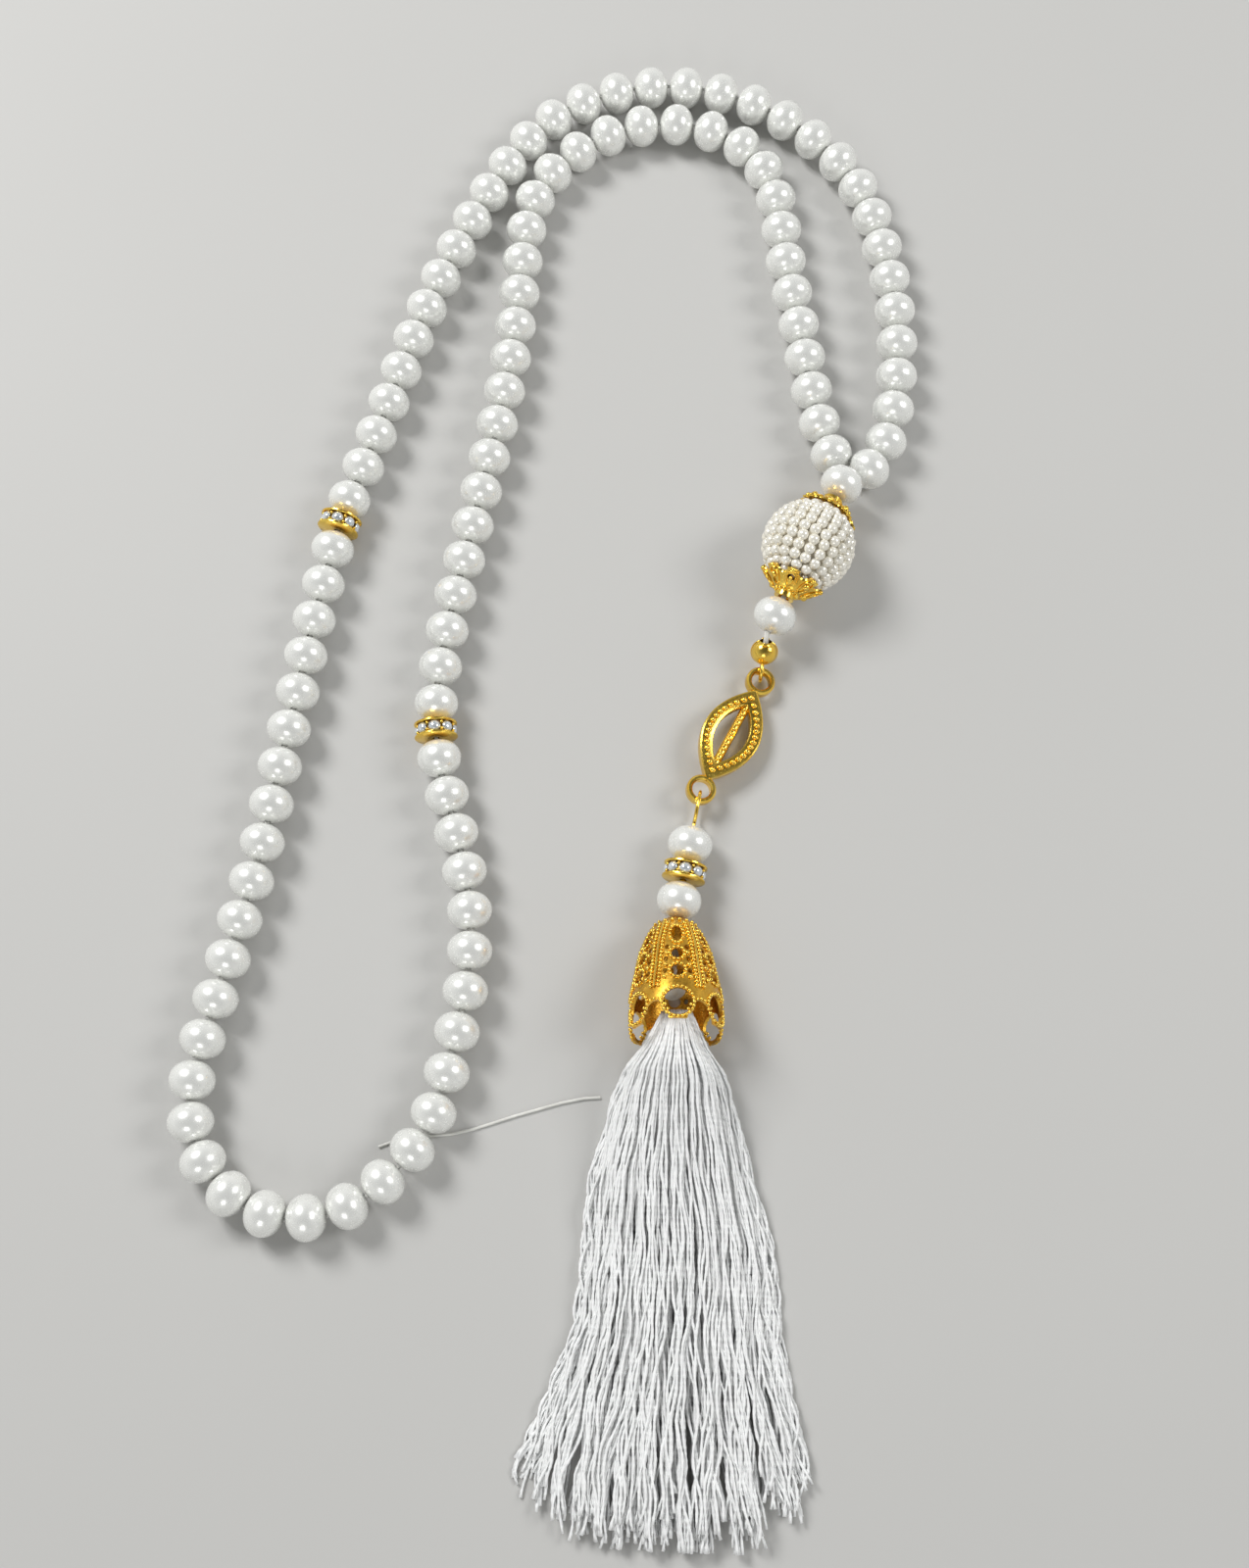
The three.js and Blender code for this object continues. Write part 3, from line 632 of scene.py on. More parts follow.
@dataclass
class Shop:
    """The frame and the finishes that every sub-assembly is made with."""

    nodes: dict[str, bpy.types.Object]
    joints: dict[str, dict]
    members: dict[str, list[str]]
    palette: Palette

    def place(self, joint: str, flip: bool = False) -> Matrix:
        """Where a turning piece sits, its local Z along the joint's axis.

        Args:
            joint: The joint's name.
            flip: Whether local Z points the other way.

        Returns:
            The place, in millimetres.
        """
        record = self.joints[joint]
        sign = -1 if flip else 1
        return aim([x / MM for x in record["pos_m"]], [sign * a for a in record["axis"]])

    def fit(self, obj: bpy.types.Object, name: str, body: str, slot: Slot,
            material: bpy.types.Material | None, *replaced: str) -> bpy.types.Object:
        """Brings a finished piece to metres, dresses it and lets it ride.

        Args:
            obj: The piece, in millimetres.
            name: Its name.
            body: The body that it rides on.
            slot: The record's slot of its finish; not used.
            material: Its material, or None to keep those that it has.
            replaced: The CAD nodes that it stands for.

        Returns:
            The fitted piece.
        """
        obj.name = name
        obj.data.name = name
        obj.data.transform(Matrix.Scale(MM, 4) @ obj.matrix_world)
        obj.matrix_world = Matrix.Identity(4)
        if material is not None:
            obj.data.materials.clear()
            obj.data.materials.append(material)
        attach(obj, body)
        if replaced:
            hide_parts(*replaced)
        log.info("%s rides on %s", name, body)
        return obj


# ------------------------------------------------------------------ the pearls and their string


@dataclass
class PearlString:
    """The ninety-nine pearls of the string and the four of the pendant."""

    shop: Shop
    radius: float = 4.0
    half_length: float = 3.43
    bore: float = 0.62
    fullness: float = 2.08
    end_gap: float = 0.175
    pearl_from: float = 5.0
    reach: float = 8.5
    rim_ease: float = 0.16
    rim_angle: float = 80.0
    steps: int = 22
    segments: int = 36
    same_ring: float = 1.0
    turn_each: float = 0.9

    def model_pearl(self) -> bpy.types.Object:
        """Models one bored, full-bodied pearl with eased hole rims, local Z along its hole.

        Returns:
            The pearl.
        """
        share = 2 / self.fullness
        outline = [(self.bore, -self.half_length + self.rim_ease)]
        for i in range(self.steps + 1):
            angle = math.radians(mix(-self.rim_angle, self.rim_angle, i / self.steps))
            outline.append((self.radius * math.cos(angle) ** share,
                            math.copysign(self.half_length * abs(math.sin(angle)) ** share,
                                          angle)))
        outline.append((self.bore, self.half_length - self.rim_ease))
        return turned("pearl", outline, self.segments)

    def marks(self, node: bpy.types.Object) -> list[np.ndarray]:
        """Reads the places that a length of string passes, in order.

        Args:
            node: The string's CAD node.

        Returns:
            The places in millimetres, with the drawn-back ends restored.
        """
        corners = np.array([vertex.co for vertex in node.data.vertices]) / MM
        rings: list[list[np.ndarray]] = []
        for corner in corners:
            near = [ring for ring in rings if np.linalg.norm(ring[0] - corner) < self.same_ring]
            if near:
                near[0].append(corner)
            else:
                rings.append([corner])
        centres = [np.unique(np.round(ring, 3), axis=0).mean(axis=0) for ring in rings]
        gaps = np.linalg.norm(np.array(centres)[:, None] - np.array(centres)[None], axis=2)
        linked = (gaps > 0) & (gaps < self.reach)
        here = int(np.argmin(linked.sum(axis=1)))
        order = [here]
        while True:
            onward = [i for i in np.flatnonzero(linked[here]) if i not in order]
            if not onward:
                break
            here = int(min(onward, key=lambda i: gaps[here][i]))
            order.append(here)
        chain = [centres[i] for i in order]
        for end, inner in ((0, 1), (-1, -2)):
            away = chain[end] - chain[inner]
            chain[end] = chain[end] + away / np.linalg.norm(away) * self.end_gap
        return chain

    def nearest(self, centre: np.ndarray, body: str) -> str:
        """Finds the CAD run that holds a pearl.

        Args:
            centre: The pearl's middle, in millimetres.
            body: The body that the pearl rides on.

        Returns:
            The node's name.
        """
        def gap(name: str) -> float:
            """Measures from the middle to a node's nearest corner.

            Args:
                name: The node's name.

            Returns:
                The distance, in millimetres.
            """
            corners = np.array([v.co for v in self.shop.nodes[name].data.vertices]) / MM
            return float(np.linalg.norm(corners - centre, axis=1).min())
        runs = [n for n in self.shop.members[body] if n.startswith("pearls_")]
        return min(runs, key=gap)

    def build(self) -> None:
        """Strings the pearls along the string and sets the four of the pendant."""
        master = self.model_pearl()
        palette = self.shop.palette
        for body, members in self.shop.members.items():
            for node in [n for n in members if n.startswith("string_")]:
                chain = self.marks(self.shop.nodes[node])
                count = 0
                for start, end in zip(chain, chain[1:]):
                    if np.linalg.norm(end - start) < self.pearl_from:
                        continue
                    count += 1
                    centre = (start + end) / 2
                    name = f"pearl_{node.removeprefix('string_')}_{count:02d}"
                    turn = Matrix.Rotation(self.turn_each * count, 4, "Z")
                    pearl = copied(master, name, aim(centre, end - start) @ turn)
                    self.shop.fit(pearl, name, body, Slot.PEARL, palette.pearl,
                                  self.nearest(centre, body))
        singles = (
            ("junction_pearl", "junction", self.junction_place()),
            ("imam_pearl", "imam_pearl", self.shop.place("spin_imam_pearl")),
            ("pin_pearl_upper", "pin_pearl_upper", self.shop.place("spin_pin_pearl_upper")),
            ("pin_pearl_lower", "pin_pearl_lower", self.shop.place("spin_pin_pearl_lower")),
        )
        for node, body, place in singles:
            pearl = copied(master, f"{node}_glazed", place)
            self.shop.fit(pearl, f"{node}_glazed", body, Slot.PEARL, palette.pearl, node)
        drop(master)

    def junction_place(self) -> Matrix:
        """Where the junction pearl sits, its hole towards the ball.

        Returns:
            The place, in millimetres.
        """
        middle = [x / MM for x in self.shop.joints["pendant_swing"]["pos_m"]]
        return aim(middle, self.shop.joints["spin_upper_cap"]["axis"])


# ------------------------------------------------------------------ the stone-set dividers


@dataclass
class Dividers:
    """The three flat dividers, each a gilt channel with a ring of faceted stones."""

    shop: Shop
    radius: float = 3.9
    half_length: float = 1.5
    rim: float = 0.5
    floor: float = 3.0
    bore: float = 0.65
    stones: int = 8
    stone_radius: float = 1.12
    stone_girdle: float = 0.14
    stone_crown: float = 0.46
    stone_table: float = 0.52
    stone_out: float = 0.16
    bead_radius: float = 0.3
    bead_out: float = 0.45
    bead_aside: float = 0.62
    segments: int = 48

    def model_rim(self) -> bpy.types.Object:
        """Models one side plate with eased edges, its inner face on z = 0.

        Returns:
            The plate.
        """
        return turned("rim", [
            (self.bore, 0), (self.radius - 0.12, 0), (self.radius, 0.12),
            (self.radius, self.rim - 0.16), (self.radius - 0.2, self.rim),
            (self.bore + 0.5, self.rim), (self.bore, self.rim - 0.1)], self.segments)

    def model_stone(self) -> bpy.types.Object:
        """Models one faceted stone, its flat table upwards on local Z.

        Returns:
            The stone.
        """
        deselect_everything()
        bpy.ops.mesh.primitive_circle_add(vertices=8, radius=self.stone_radius,
                                          fill_type="NGON")
        obj = bpy.context.object
        open_mesh(obj)
        bpy.ops.mesh.select_all(action="SELECT")
        for rise in (self.stone_girdle, self.stone_crown):
            bpy.ops.mesh.extrude_region_move(TRANSFORM_OT_translate={"value": (0, 0, rise)})
        bpy.ops.transform.resize(value=(self.stone_table, self.stone_table, 1),
                                 center_override=(0, 0, self.stone_girdle + self.stone_crown))
        return close_mesh(1)

    def build(self) -> None:
        """Builds the dividers on the string and the one on the pin."""
        rim, stone = self.model_rim(), self.model_stone()
        bead = granule()
        inner = self.half_length - self.rim
        channel = turned("channel", [(self.bore, -inner), (self.floor, -inner),
                                     (self.floor, inner), (self.bore, inner)], self.segments)
        for body, joint in (("left_divider", "spin_left_divider"),
                            ("right_divider", "spin_right_divider"),
                            ("pin_divider", "spin_pin_divider")):
            place = self.shop.place(joint)
            rims, gems, beads = [], [], []
            for sign in (1, -1):
                flip = Matrix.Rotation(0 if sign > 0 else math.pi, 4, "X")
                rims.append(Matrix.Translation((0, 0, sign * inner)) @ flip)
            for i in range(self.stones):
                turn = Matrix.Rotation(2 * math.pi * i / self.stones, 4, "Z")
                out = Matrix.Rotation(math.pi / 2, 4, "Y")
                gems.append(turn @ Matrix.Translation((self.floor + self.stone_out, 0, 0)) @ out
                            @ Matrix.Rotation(math.pi / 8, 4, "Z"))
                between = turn @ Matrix.Rotation(math.pi / self.stones, 4, "Z")
                for sign in (1, -1):
                    beads.append(between @ at((self.floor + self.bead_out, 0,
                                               sign * self.bead_aside), self.bead_radius))
            metal = join([scattered(rim, "rims", rims), scattered(bead, "beads", beads)])
            metal.data.transform(place)
            select_only(metal)
            bpy.ops.object.shade_smooth_by_angle(angle=math.radians(40))
            self.shop.fit(metal, f"{body}_rims", body, Slot.GOLD, self.shop.palette.gold,
                          f"{body}_channel")
            # The channel floor takes the darkened gold, painted shade in the channel between the rims.
            self.shop.fit(copied(channel, f"{body}_floor", place), f"{body}_floor", body,
                          Slot.GOLD, self.shop.palette.floor_gold_painted_shade)
            jewels = scattered(stone, "jewels", gems)
            jewels.data.transform(place)
            self.shop.fit(jewels, f"{body}_jewels", body, Slot.STONE, self.shop.palette.stone,
                          f"{body}_stones")
        drop(rim, stone, bead, channel)


# ------------------------------------------------------------------ the ball and its caps


@dataclass
class SeedBall:
    """The large ball sewn all over with seed pearls, between its two petal caps."""

    shop: Shop
    core_radius: float = 7.55
    bore: float = 1.5
    seed_radius: float = 1.09
    seed_ring: float = 7.72
    rows: int = 11
    top_row: float = 67.0
    squeeze: float = 0.97

    def build(self) -> None:
        """Builds the core and sews the seed pearls on in staggered rows."""
        place = self.shop.place("spin_ball")
        deselect_everything()
        bpy.ops.mesh.primitive_uv_sphere_add(segments=40, ring_count=24, radius=self.core_radius)
        core = bpy.context.object
        open_mesh(core)
        pick(core, lambda co: math.hypot(co.x, co.y) < self.bore)
        bpy.ops.mesh.delete(type="VERT")
        bpy.ops.mesh.select_non_manifold()
        bpy.ops.mesh.bridge_edge_loops()
        core = close_mesh()
        core.data.transform(place)
        self.shop.fit(core, "ball_core", "ball", Slot.SEED, self.shop.palette.ball_core)
        deselect_everything()
        bpy.ops.mesh.primitive_uv_sphere_add(segments=12, ring_count=7, radius=self.seed_radius)
        bpy.ops.object.shade_smooth()
        seed = bpy.context.object
        places = []
        for row in range(self.rows):
            latitude = math.radians(mix(-self.top_row, self.top_row, row / (self.rows - 1)))
            ring = self.seed_ring * math.cos(latitude)
            count = round(2 * math.pi * ring / (2 * self.seed_radius * self.squeeze))
            for i in range(count):
                turn = 2 * math.pi * (i + 0.5 * (row % 2)) / count
                places.append(at((ring * math.cos(turn), ring * math.sin(turn),
                                  self.seed_ring * math.sin(latitude))))
        seeds = scattered(seed, "seeds", places)
        seeds.data.transform(place)
        self.shop.fit(seeds, "ball_seed_pearls", "ball", Slot.SEED, self.shop.palette.seed,
                      "pearl_ball")
        drop(seed)


@dataclass
class PetalCaps:
    """The two caps of eight petals, every second one pierced."""

    shop: Shop
    petals: int = 8
    outside: Outline = ((1.9, 0.0), (1.9, 1.05), (2.5, 1.3), (3.2, 1.75), (3.95, 2.35),
                        (4.9, 3.0), (6.0, 3.8))
    inside: Outline = ((5.8, 4.05), (4.7, 3.3), (3.8, 2.75), (2.5, 1.85), (1.1, 1.45), (1.1, 0.0))
    notch: tuple[float, float, float] = (5.95, 0.0, 3.4)
    notch_radius: float = 1.12
    piercing: tuple[float, float, float] = (4.45, 0.0, 2.7)
    piercing_radius: float = 0.72
    piercing_lean: float = 35.0
    collar_grains: int = 14
    rim_points: int = 18

    def model(self) -> bpy.types.Object:
        """Models a cap that opens along local Z from its neck at the origin.

        Returns:
            The cap.
        """
        bowl = turned("cap", [*self.outside, *self.inside], 64)
        cutters = []
        for i in range(self.petals):
            turn = Matrix.Rotation(2 * math.pi * (i + 0.5) / self.petals, 4, "Z")
            cutters.append(self.cutter(turn @ Matrix.Translation(self.notch), self.notch_radius, 5))
            if i % 2 == 0:
                petal = Matrix.Rotation(2 * math.pi * i / self.petals, 4, "Z")
                lean = Matrix.Rotation(-math.radians(self.piercing_lean), 4, "Y")
                cutters.append(self.cutter(
                    petal @ Matrix.Translation(self.piercing) @ lean, self.piercing_radius, 3))
        cut(bowl, cutters)
        ease_edges(bowl, 0.07)
        bead = granule()
        places, rims = [], []
        for i in range(self.collar_grains):
            turn = 2 * math.pi * i / self.collar_grains
            places.append(at((2.08 * math.cos(turn), 2.08 * math.sin(turn), 1.12), 0.42))
        for i in range(self.petals):
            turn = 2 * math.pi * i / self.petals
            out = Vector((math.cos(turn), math.sin(turn), 0))
            side = Vector((-math.sin(turn), math.cos(turn), 0))
            open_petal = i % 2 == 0
            places.append(at(out * 5.75 + Vector((0, 0, 3.7)), 0.5))
            places.append(at(out * 4.45 + Vector((0, 0, 2.55)), 0.42 if open_petal else 0.7))
            loop = []
            for k in range(self.rim_points):
                angle = 2 * math.pi * k / self.rim_points
                along = 4.2 + 1.45 * math.cos(angle)
                across = 1.02 * math.sin(angle) * (0.8 + 0.3 * math.cos(angle))
                high = interpolated([*self.outside][1:], along)
                loop.append(out * along + side * across + Vector((0, 0, high - 0.1)))
            rims.append(wire("rim", loop, 0.19, cyclic=True, resolution=1))
        beads = scattered(bead, "beads", places)
        drop(bead)
        return join([bowl, *rims, beads])

    @staticmethod
    def cutter(place: Matrix, radius: float, depth: float) -> bpy.types.Object:
        """Models a round cutter at a place.

        Args:
            place: The cutter's middle and lean.
            radius: Its radius, in millimetres.
            depth: Its length, in millimetres.

        Returns:
            The cutter.
        """
        deselect_everything()
        bpy.ops.mesh.primitive_cylinder_add(vertices=18, radius=radius, depth=depth)
        obj = bpy.context.object
        obj.data.transform(place)
        return obj

    def build(self) -> None:
        """Builds both caps, each opening towards the ball."""
        master = self.model()
        for node, joint, flip in (("upper_cap", "spin_upper_cap", False),
                                  ("lower_cap", "spin_lower_cap", True)):
            piece = copied(master, f"{node}_petals", self.shop.place(joint, flip))
            self.shop.fit(piece, f"{node}_petals", node, Slot.GOLD, self.shop.palette.gold, node)
        drop(master)


# ------------------------------------------------------------------ cover, charm and pin


@dataclass
class KnotCover:
    """The clam cover over the string's knot, with its hook through the charm's ring."""

    shop: Shop
    centre: tuple[float, float, float] = (35.873, 12.664, 4.3)
    radius: float = 2.42
    hook_radius: float = 1.95
    wire_radius: float = 0.33
    heading: float = 6.0
    wall: float = 0.4
    pearl_half_length: float = 3.425
    seam_radius: float = 0.13
    hook_above: float = 2.2
    tab_outline: Outline = ((0.5, -0.3), (0.75, -0.9), (0.3, -1.15), (-0.3, -1.15),
                            (-0.75, -0.9), (-0.5, -0.3))
    tab_thickness: float = 0.28
    tab_aside: float = 0.95
    tab_lean: float = 55.0

    def build(self) -> None:
        """Builds the cover, its seam and tabs, and the hook."""
        joints = self.shop.joints
        mouth = (Vector(joints["spin_imam_pearl"]["pos_m"]) / MM
                 + Vector(joints["spin_imam_pearl"]["axis"]) * self.pearl_half_length)
        place = aim(self.centre, Vector(self.centre) - mouth)
        profile = []
        for i in range(11):
            angle = math.radians(mix(153, 12, i / 10))
            profile.append((self.radius * math.sin(angle), self.radius * math.cos(angle)))
        inner = self.radius - self.wall
        for i in range(11):
            angle = math.radians(mix(14, 147, i / 10))
            profile.append((inner * math.sin(angle), inner * math.cos(angle)))
        shell = turned("shell", profile, 32)
        seam_points = [(self.radius * math.cos(t), 0, self.radius * math.sin(t))
                       for t in np.linspace(-math.radians(60), math.radians(240), 40)]
        seam = wire("seam", seam_points, self.seam_radius, resolution=1)
        tabs = []
        for sign in (1, -1):
            tab = plate("tab", self.tab_outline, self.tab_thickness)
            ease_edges(tab, 0.06)
            tab.data.transform(Matrix.Translation((0, sign * self.tab_aside,
                                                   -self.radius + self.tab_aside))
                               @ Matrix.Rotation(sign * math.radians(self.tab_lean), 4, "X")
                               @ Matrix.Rotation(math.pi / 2, 4, "X"))
            tabs.append(tab)
        body = join([shell, seam, *tabs])
        body.data.transform(place)
        turn = math.radians(self.heading)
        away = Vector((-math.sin(turn), -math.cos(turn), 0))
        ring = Vector(joints["charm_swing"]["pos_m"]) / MM
        middle = ring - away * self.hook_above
        up = Vector((0, 0, 1))
        points = [middle + away * (self.hook_radius * math.cos(t))
                  + up * (self.hook_radius * math.sin(t))
                  for t in np.linspace(math.radians(165), math.radians(-190), 44)]
        hook = wire("hook", points, self.wire_radius)
        whole = join([body, hook])
        self.shop.fit(whole, "knot_cover_clam", "pendant", Slot.GOLD, self.shop.palette.gold,
                      "knot_cover")


@dataclass
class LeafCharm:
    """The open leaf with a centre rib, granulated, between its two rings."""

    shop: Shop
    lower: tuple[float, float] = (-10.5, -21.7)
    thickness: float = 2.2
    ring_radius: float = 2.7
    ring_bore: float = 1.7
    roll: float = 9.0
    leaf: tuple[float, float] = (2.0, 10.8)
    opening: tuple[float, float] = (5.6, 6.0)
    grain_line: tuple[float, float] = (4.1, 8.3)
    grain_steps: int = 15
    grain_radius: float = 0.56
    rib_radius: float = 0.8
    rib_span: tuple[float, float] = (3.8, 20.3)
    rib_grain_radius: float = 0.42
    rib_grain_span: tuple[float, float] = (6.6, 17.5)
    edge: float = 0.32

    def lens(self, tip: float, bulge: float, steps: int = 22) -> list[tuple[float, float]]:
        """Draws a lens between the two rings.

        Args:
            tip: From each ring's centre to the lens's tip.
            bulge: How far its edges are pulled out.
            steps: Corners of each edge.

        Returns:
            The corners in order.
        """
        foot = Vector(self.lower)
        away = foot.normalized()
        side = Vector((-away.y, away.x)) * bulge
        start, end, middle = away * tip, foot - away * tip, foot / 2
        corners = []
        for pull, a, b in ((side, start, end), (-side, end, start)):
            for i in range(steps):
                t = i / steps
                p = a * (1 - t) ** 2 + (middle + pull) * 2 * t * (1 - t) + b * t * t
                corners.append((p.x, p.y))
        return corners

    def build(self) -> None:
        """Builds the leaf, its rib, its rings and its granulation."""
        foot = Vector(self.lower)
        away = foot.normalized()
        leaf = plate("leaf", self.lens(*self.leaf), self.thickness)
        cut(leaf, [plate("opening", self.lens(*self.opening), 2 * self.thickness)])
        ease_edges(leaf, self.edge)
        rib = wire("rib", [tuple(away * d) + (0.0,) for d in np.linspace(*self.rib_span, 12)],
                   self.rib_radius)
        half = self.thickness / 2
        rings = []
        for x, y in ((0.0, 0.0), self.lower):
            ring = turned("ring", [(self.ring_bore, -half + 0.35), (self.ring_bore + 0.3, -half),
                                   (self.ring_radius - 0.35, -half),
                                   (self.ring_radius, -half + 0.4), (self.ring_radius, half - 0.4),
                                   (self.ring_radius - 0.35, half),
                                   (self.ring_bore + 0.3, half),
                                   (self.ring_bore, half - 0.35)], 36)
            ring.data.transform(Matrix.Translation((x, y, 0)))
            rings.append(ring)
        bead = granule()
        places = [at((x, y, sign * (half + 0.05)), self.grain_radius)
                  for x, y in self.lens(*self.grain_line, self.grain_steps) for sign in (1, -1)]
        for d in np.linspace(*self.rib_grain_span, 11):
            places += [at((*(away * d), sign * 0.78), self.rib_grain_radius) for sign in (1, -1)]
        grains = scattered(bead, "grains", places)
        drop(bead)
        whole = join([leaf, rib, *rings, grains])
        pivot = [x / MM for x in self.shop.joints["charm_swing"]["pos_m"]]
        whole.data.transform(Matrix.Translation(pivot)
                             @ Matrix.Rotation(math.radians(self.roll), 4, "Y"))
        self.shop.fit(whole, "leaf_charm_granulated", "charm", Slot.GOLD,
                      self.shop.palette.gold, "leaf_charm")


@dataclass
class EyePin:
    """The wire pin: an oval eye in the charm's ring, a shaft and an eye in the cone."""

    shop: Shop
    start: tuple[float, float, float] = (24.944, -14.345, 3.75)
    eye_centre: float = 3.278
    eye_half_length: float = 2.95
    eye_half_width: float = 2.35
    shaft_end: float = 31.058
    hanger_radius: float = 1.5
    wire_radius: float = 0.33

    def build(self) -> None:
        """Builds the eye, the shaft and the eye inside the cone."""
        away = Vector(self.shop.joints["spin_pin_divider"]["axis"]).normalized()
        side = away.cross(Vector((0, 0, 1))).normalized()
        up = side.cross(away)
        start = Vector(self.start)

        def oval(middle: float, a: float, b: float, count: int) -> list[Vector]:
            """Points of an upright oval on the pin.

            Args:
                middle: How far down the pin its middle is.
                a: Half its length along the pin.
                b: Half its height.
                count: How many points.

            Returns:
                The points in order.
            """
            return [start + away * (middle + a * math.cos(t)) + up * (b * math.sin(t))
                    for t in np.linspace(0, 2 * math.pi, count, endpoint=False)]

        eye = wire("eye", oval(self.eye_centre, self.eye_half_length, self.eye_half_width, 36),
                   self.wire_radius, cyclic=True)
        neck = self.eye_centre + self.eye_half_length
        shaft = wire("shaft", [start + away * d for d in np.linspace(neck, self.shaft_end, 8)],
                     self.wire_radius)
        hanger = wire("hanger", oval(self.shaft_end + self.hanger_radius, self.hanger_radius,
                                     self.hanger_radius, 24), self.wire_radius, cyclic=True)
        self.shop.fit(join([eye, shaft, hanger]), "eye_pin_wire", "pin", Slot.GOLD,
                      self.shop.palette.gold, "eye_pin")


# ------------------------------------------------------------------ the filigree cone


@dataclass
class FiligreeCone:
    """The six-lobed openwork cone, with wire ribs and granulated panels."""

    shop: Shop
    length: float = 21.3
    radius: float = 8.0
    wall: float = 0.5
    lobes: int = 6
    lobe_radius: float = 2.45
    scallop: float = 2.6
    scallop_height: float = 4.0
    lobe_place: float = 18.3
    bore: float = 0.95
    openings: tuple[tuple[float, float, float], ...] = (
        (4.9, 0.85, 1.7), (9.0, 0.95, 0.95), (12.4, 1.1, 1.1))
    frame_gap: float = 0.32
    rib_radius: float = 0.3
    rib_span: tuple[float, float] = (1.8, 15.4)
    rib_grain_step: float = 0.72
    collar_grains: int = 18
    shape: Outline = ((0, 0.24), (0.06, 0.45), (0.16, 0.6), (0.3, 0.75), (0.4, 0.81),
                      (0.5, 0.86), (0.6, 0.92), (0.7, 0.97), (0.85, 0.99), (1, 1))

    def skin(self, z: float) -> float:
        """The outside radius at a distance from the neck.

        Args:
            z: The distance from the neck.

        Returns:
            The radius, in millimetres.
        """
        return interpolated([(t * self.length, r * self.radius) for t, r in self.shape], z)

    def on_skin(self, turn: float, z: float, proud: float = 0.0) -> Vector:
        """A point on the outside.

        Args:
            turn: The angle round the axis, in radians.
            z: The distance from the neck.
            proud: How far it stands off.

        Returns:
            The point, in millimetres.
        """
        r = self.skin(z) + proud
        return Vector((r * math.cos(turn), r * math.sin(turn), z))

    def build(self) -> None:
        """Builds the pierced shell and lays the wires and granules on it."""
        outside = [(r * self.radius, t * self.length) for t, r in self.shape]
        inside = [(r - self.wall, z + (self.wall if i == 0 else 0))
                  for i, (r, z) in enumerate(outside[1:])]
        shell = turned("cone", [*outside, *reversed(inside), (self.bore, self.wall + 0.2),
                                (self.bore, 0)], 96)
        cutters, places, wires = [], [], []
        for i in range(self.lobes):
            turn = 2 * math.pi * (i + 0.5) / self.lobes
            round_axis = Matrix.Rotation(turn, 4, "Z")
            for z, across, along in (*self.openings,
                                     (self.lobe_place, self.lobe_radius, self.lobe_radius)):
                cutters.append(self.cutter(round_axis, z, across, along))
                places += self.grains_round(turn, z, across + self.frame_gap,
                                            along + self.frame_gap)
            for row in range(3):
                for k in (-1, 1):
                    aside = turn + k * (0.27 + 0.015 * row)
                    places.append(at(self.on_skin(aside, 8.9 + 2.4 * row, 0.12), 0.42))
                    beside = Matrix.Rotation(aside, 4, "Z")
                    cutters.append(self.cutter(beside, 7.7 + 2.4 * row, 0.42, 0.5))
            rib = 2 * math.pi * i / self.lobes
            wires.append(wire("rib", [self.on_skin(rib, z, 0.12)
                                      for z in np.linspace(*self.rib_span, 16)], self.rib_radius))
            for z in np.arange(2.2, 15.6, self.rib_grain_step):
                for k in (-1, 1):
                    aside = rib + k * self.rib_grain_step / self.skin(z)
                    places.append(at(self.on_skin(aside, z, 0.12), 0.37))
            notch = Matrix.Rotation(rib, 4, "Z")
            cutters.append(self.cutter(notch, self.length + 0.5, self.scallop,
                                        self.scallop_height))
            for k in range(1, 12):
                angle = math.pi * k / 12
                z = self.length + 0.5 - (self.scallop_height + 0.25) * math.sin(angle)
                spread = (self.scallop + 0.22) * math.cos(angle)
                if z < self.length - 0.1:
                    places.append(at(self.on_skin(rib + spread / self.skin(z), z, 0.06), 0.3))
        for i in range(self.collar_grains):
            turn = 2 * math.pi * i / self.collar_grains
            places.append(at(self.on_skin(turn, 1.35, 0.1), 0.32))
        cut(shell, cutters)
        bead = granule()
        grains = scattered(bead, "grains", places)
        drop(bead)
        place = self.shop.place("spin_cone")
        shell.data.transform(place)
        # The shell takes the deeper gold, painted shade in the recesses under the wirework.
        self.shop.fit(shell, "filigree_cone_shell", "cone", Slot.GOLD,
                      self.shop.palette.shell_gold_painted_shade, "filigree_cone")
        wirework = join([*wires, grains])
        wirework.data.transform(place)
        self.shop.fit(wirework, "filigree_cone_wirework", "cone", Slot.GOLD,
                      self.shop.palette.gold, "filigree_cone")

    def cutter(self, round_axis: Matrix, z: float, across: float,
               along: float) -> bpy.types.Object:
        """Models a cutter that pierces one side of the shell.

        Args:
            round_axis: The turn about the cone's axis.
            z: The distance from the neck.
            across: Half its width.
            along: Half its height.

        Returns:
            The cutter.
        """
        deselect_everything()
        bpy.ops.mesh.primitive_cylinder_add(vertices=24, radius=1, depth=self.radius)
        obj = bpy.context.object
        out = Matrix.Rotation(math.pi / 2, 4, "Y")
        size = Matrix.Diagonal((along, across, 1, 1))
        obj.data.transform(round_axis @ Matrix.Translation((self.radius, 0, z)) @ out @ size)
        return obj

    def grains_round(self, turn: float, z: float, across: float,
                     along: float) -> list[Matrix]:
        """Lays granules round an opening.

        Args:
            turn: The opening's angle.
            z: The opening's distance from the neck.
            across: Half the ring's width.
            along: Half the ring's height.

        Returns:
            The granules' places.
        """
        count = round(2 * math.pi * (across + along) / 2 / 0.74)
        places = []
        for i in range(count):
            angle = 2 * math.pi * i / count
            height = min(self.length - 0.2, z + along * math.sin(angle))
            places.append(at(self.on_skin(turn + across * math.cos(angle) / self.skin(height),
                                          height, 0.1), 0.34))
        return places


# ------------------------------------------------------------------ the tassel and the loose thread


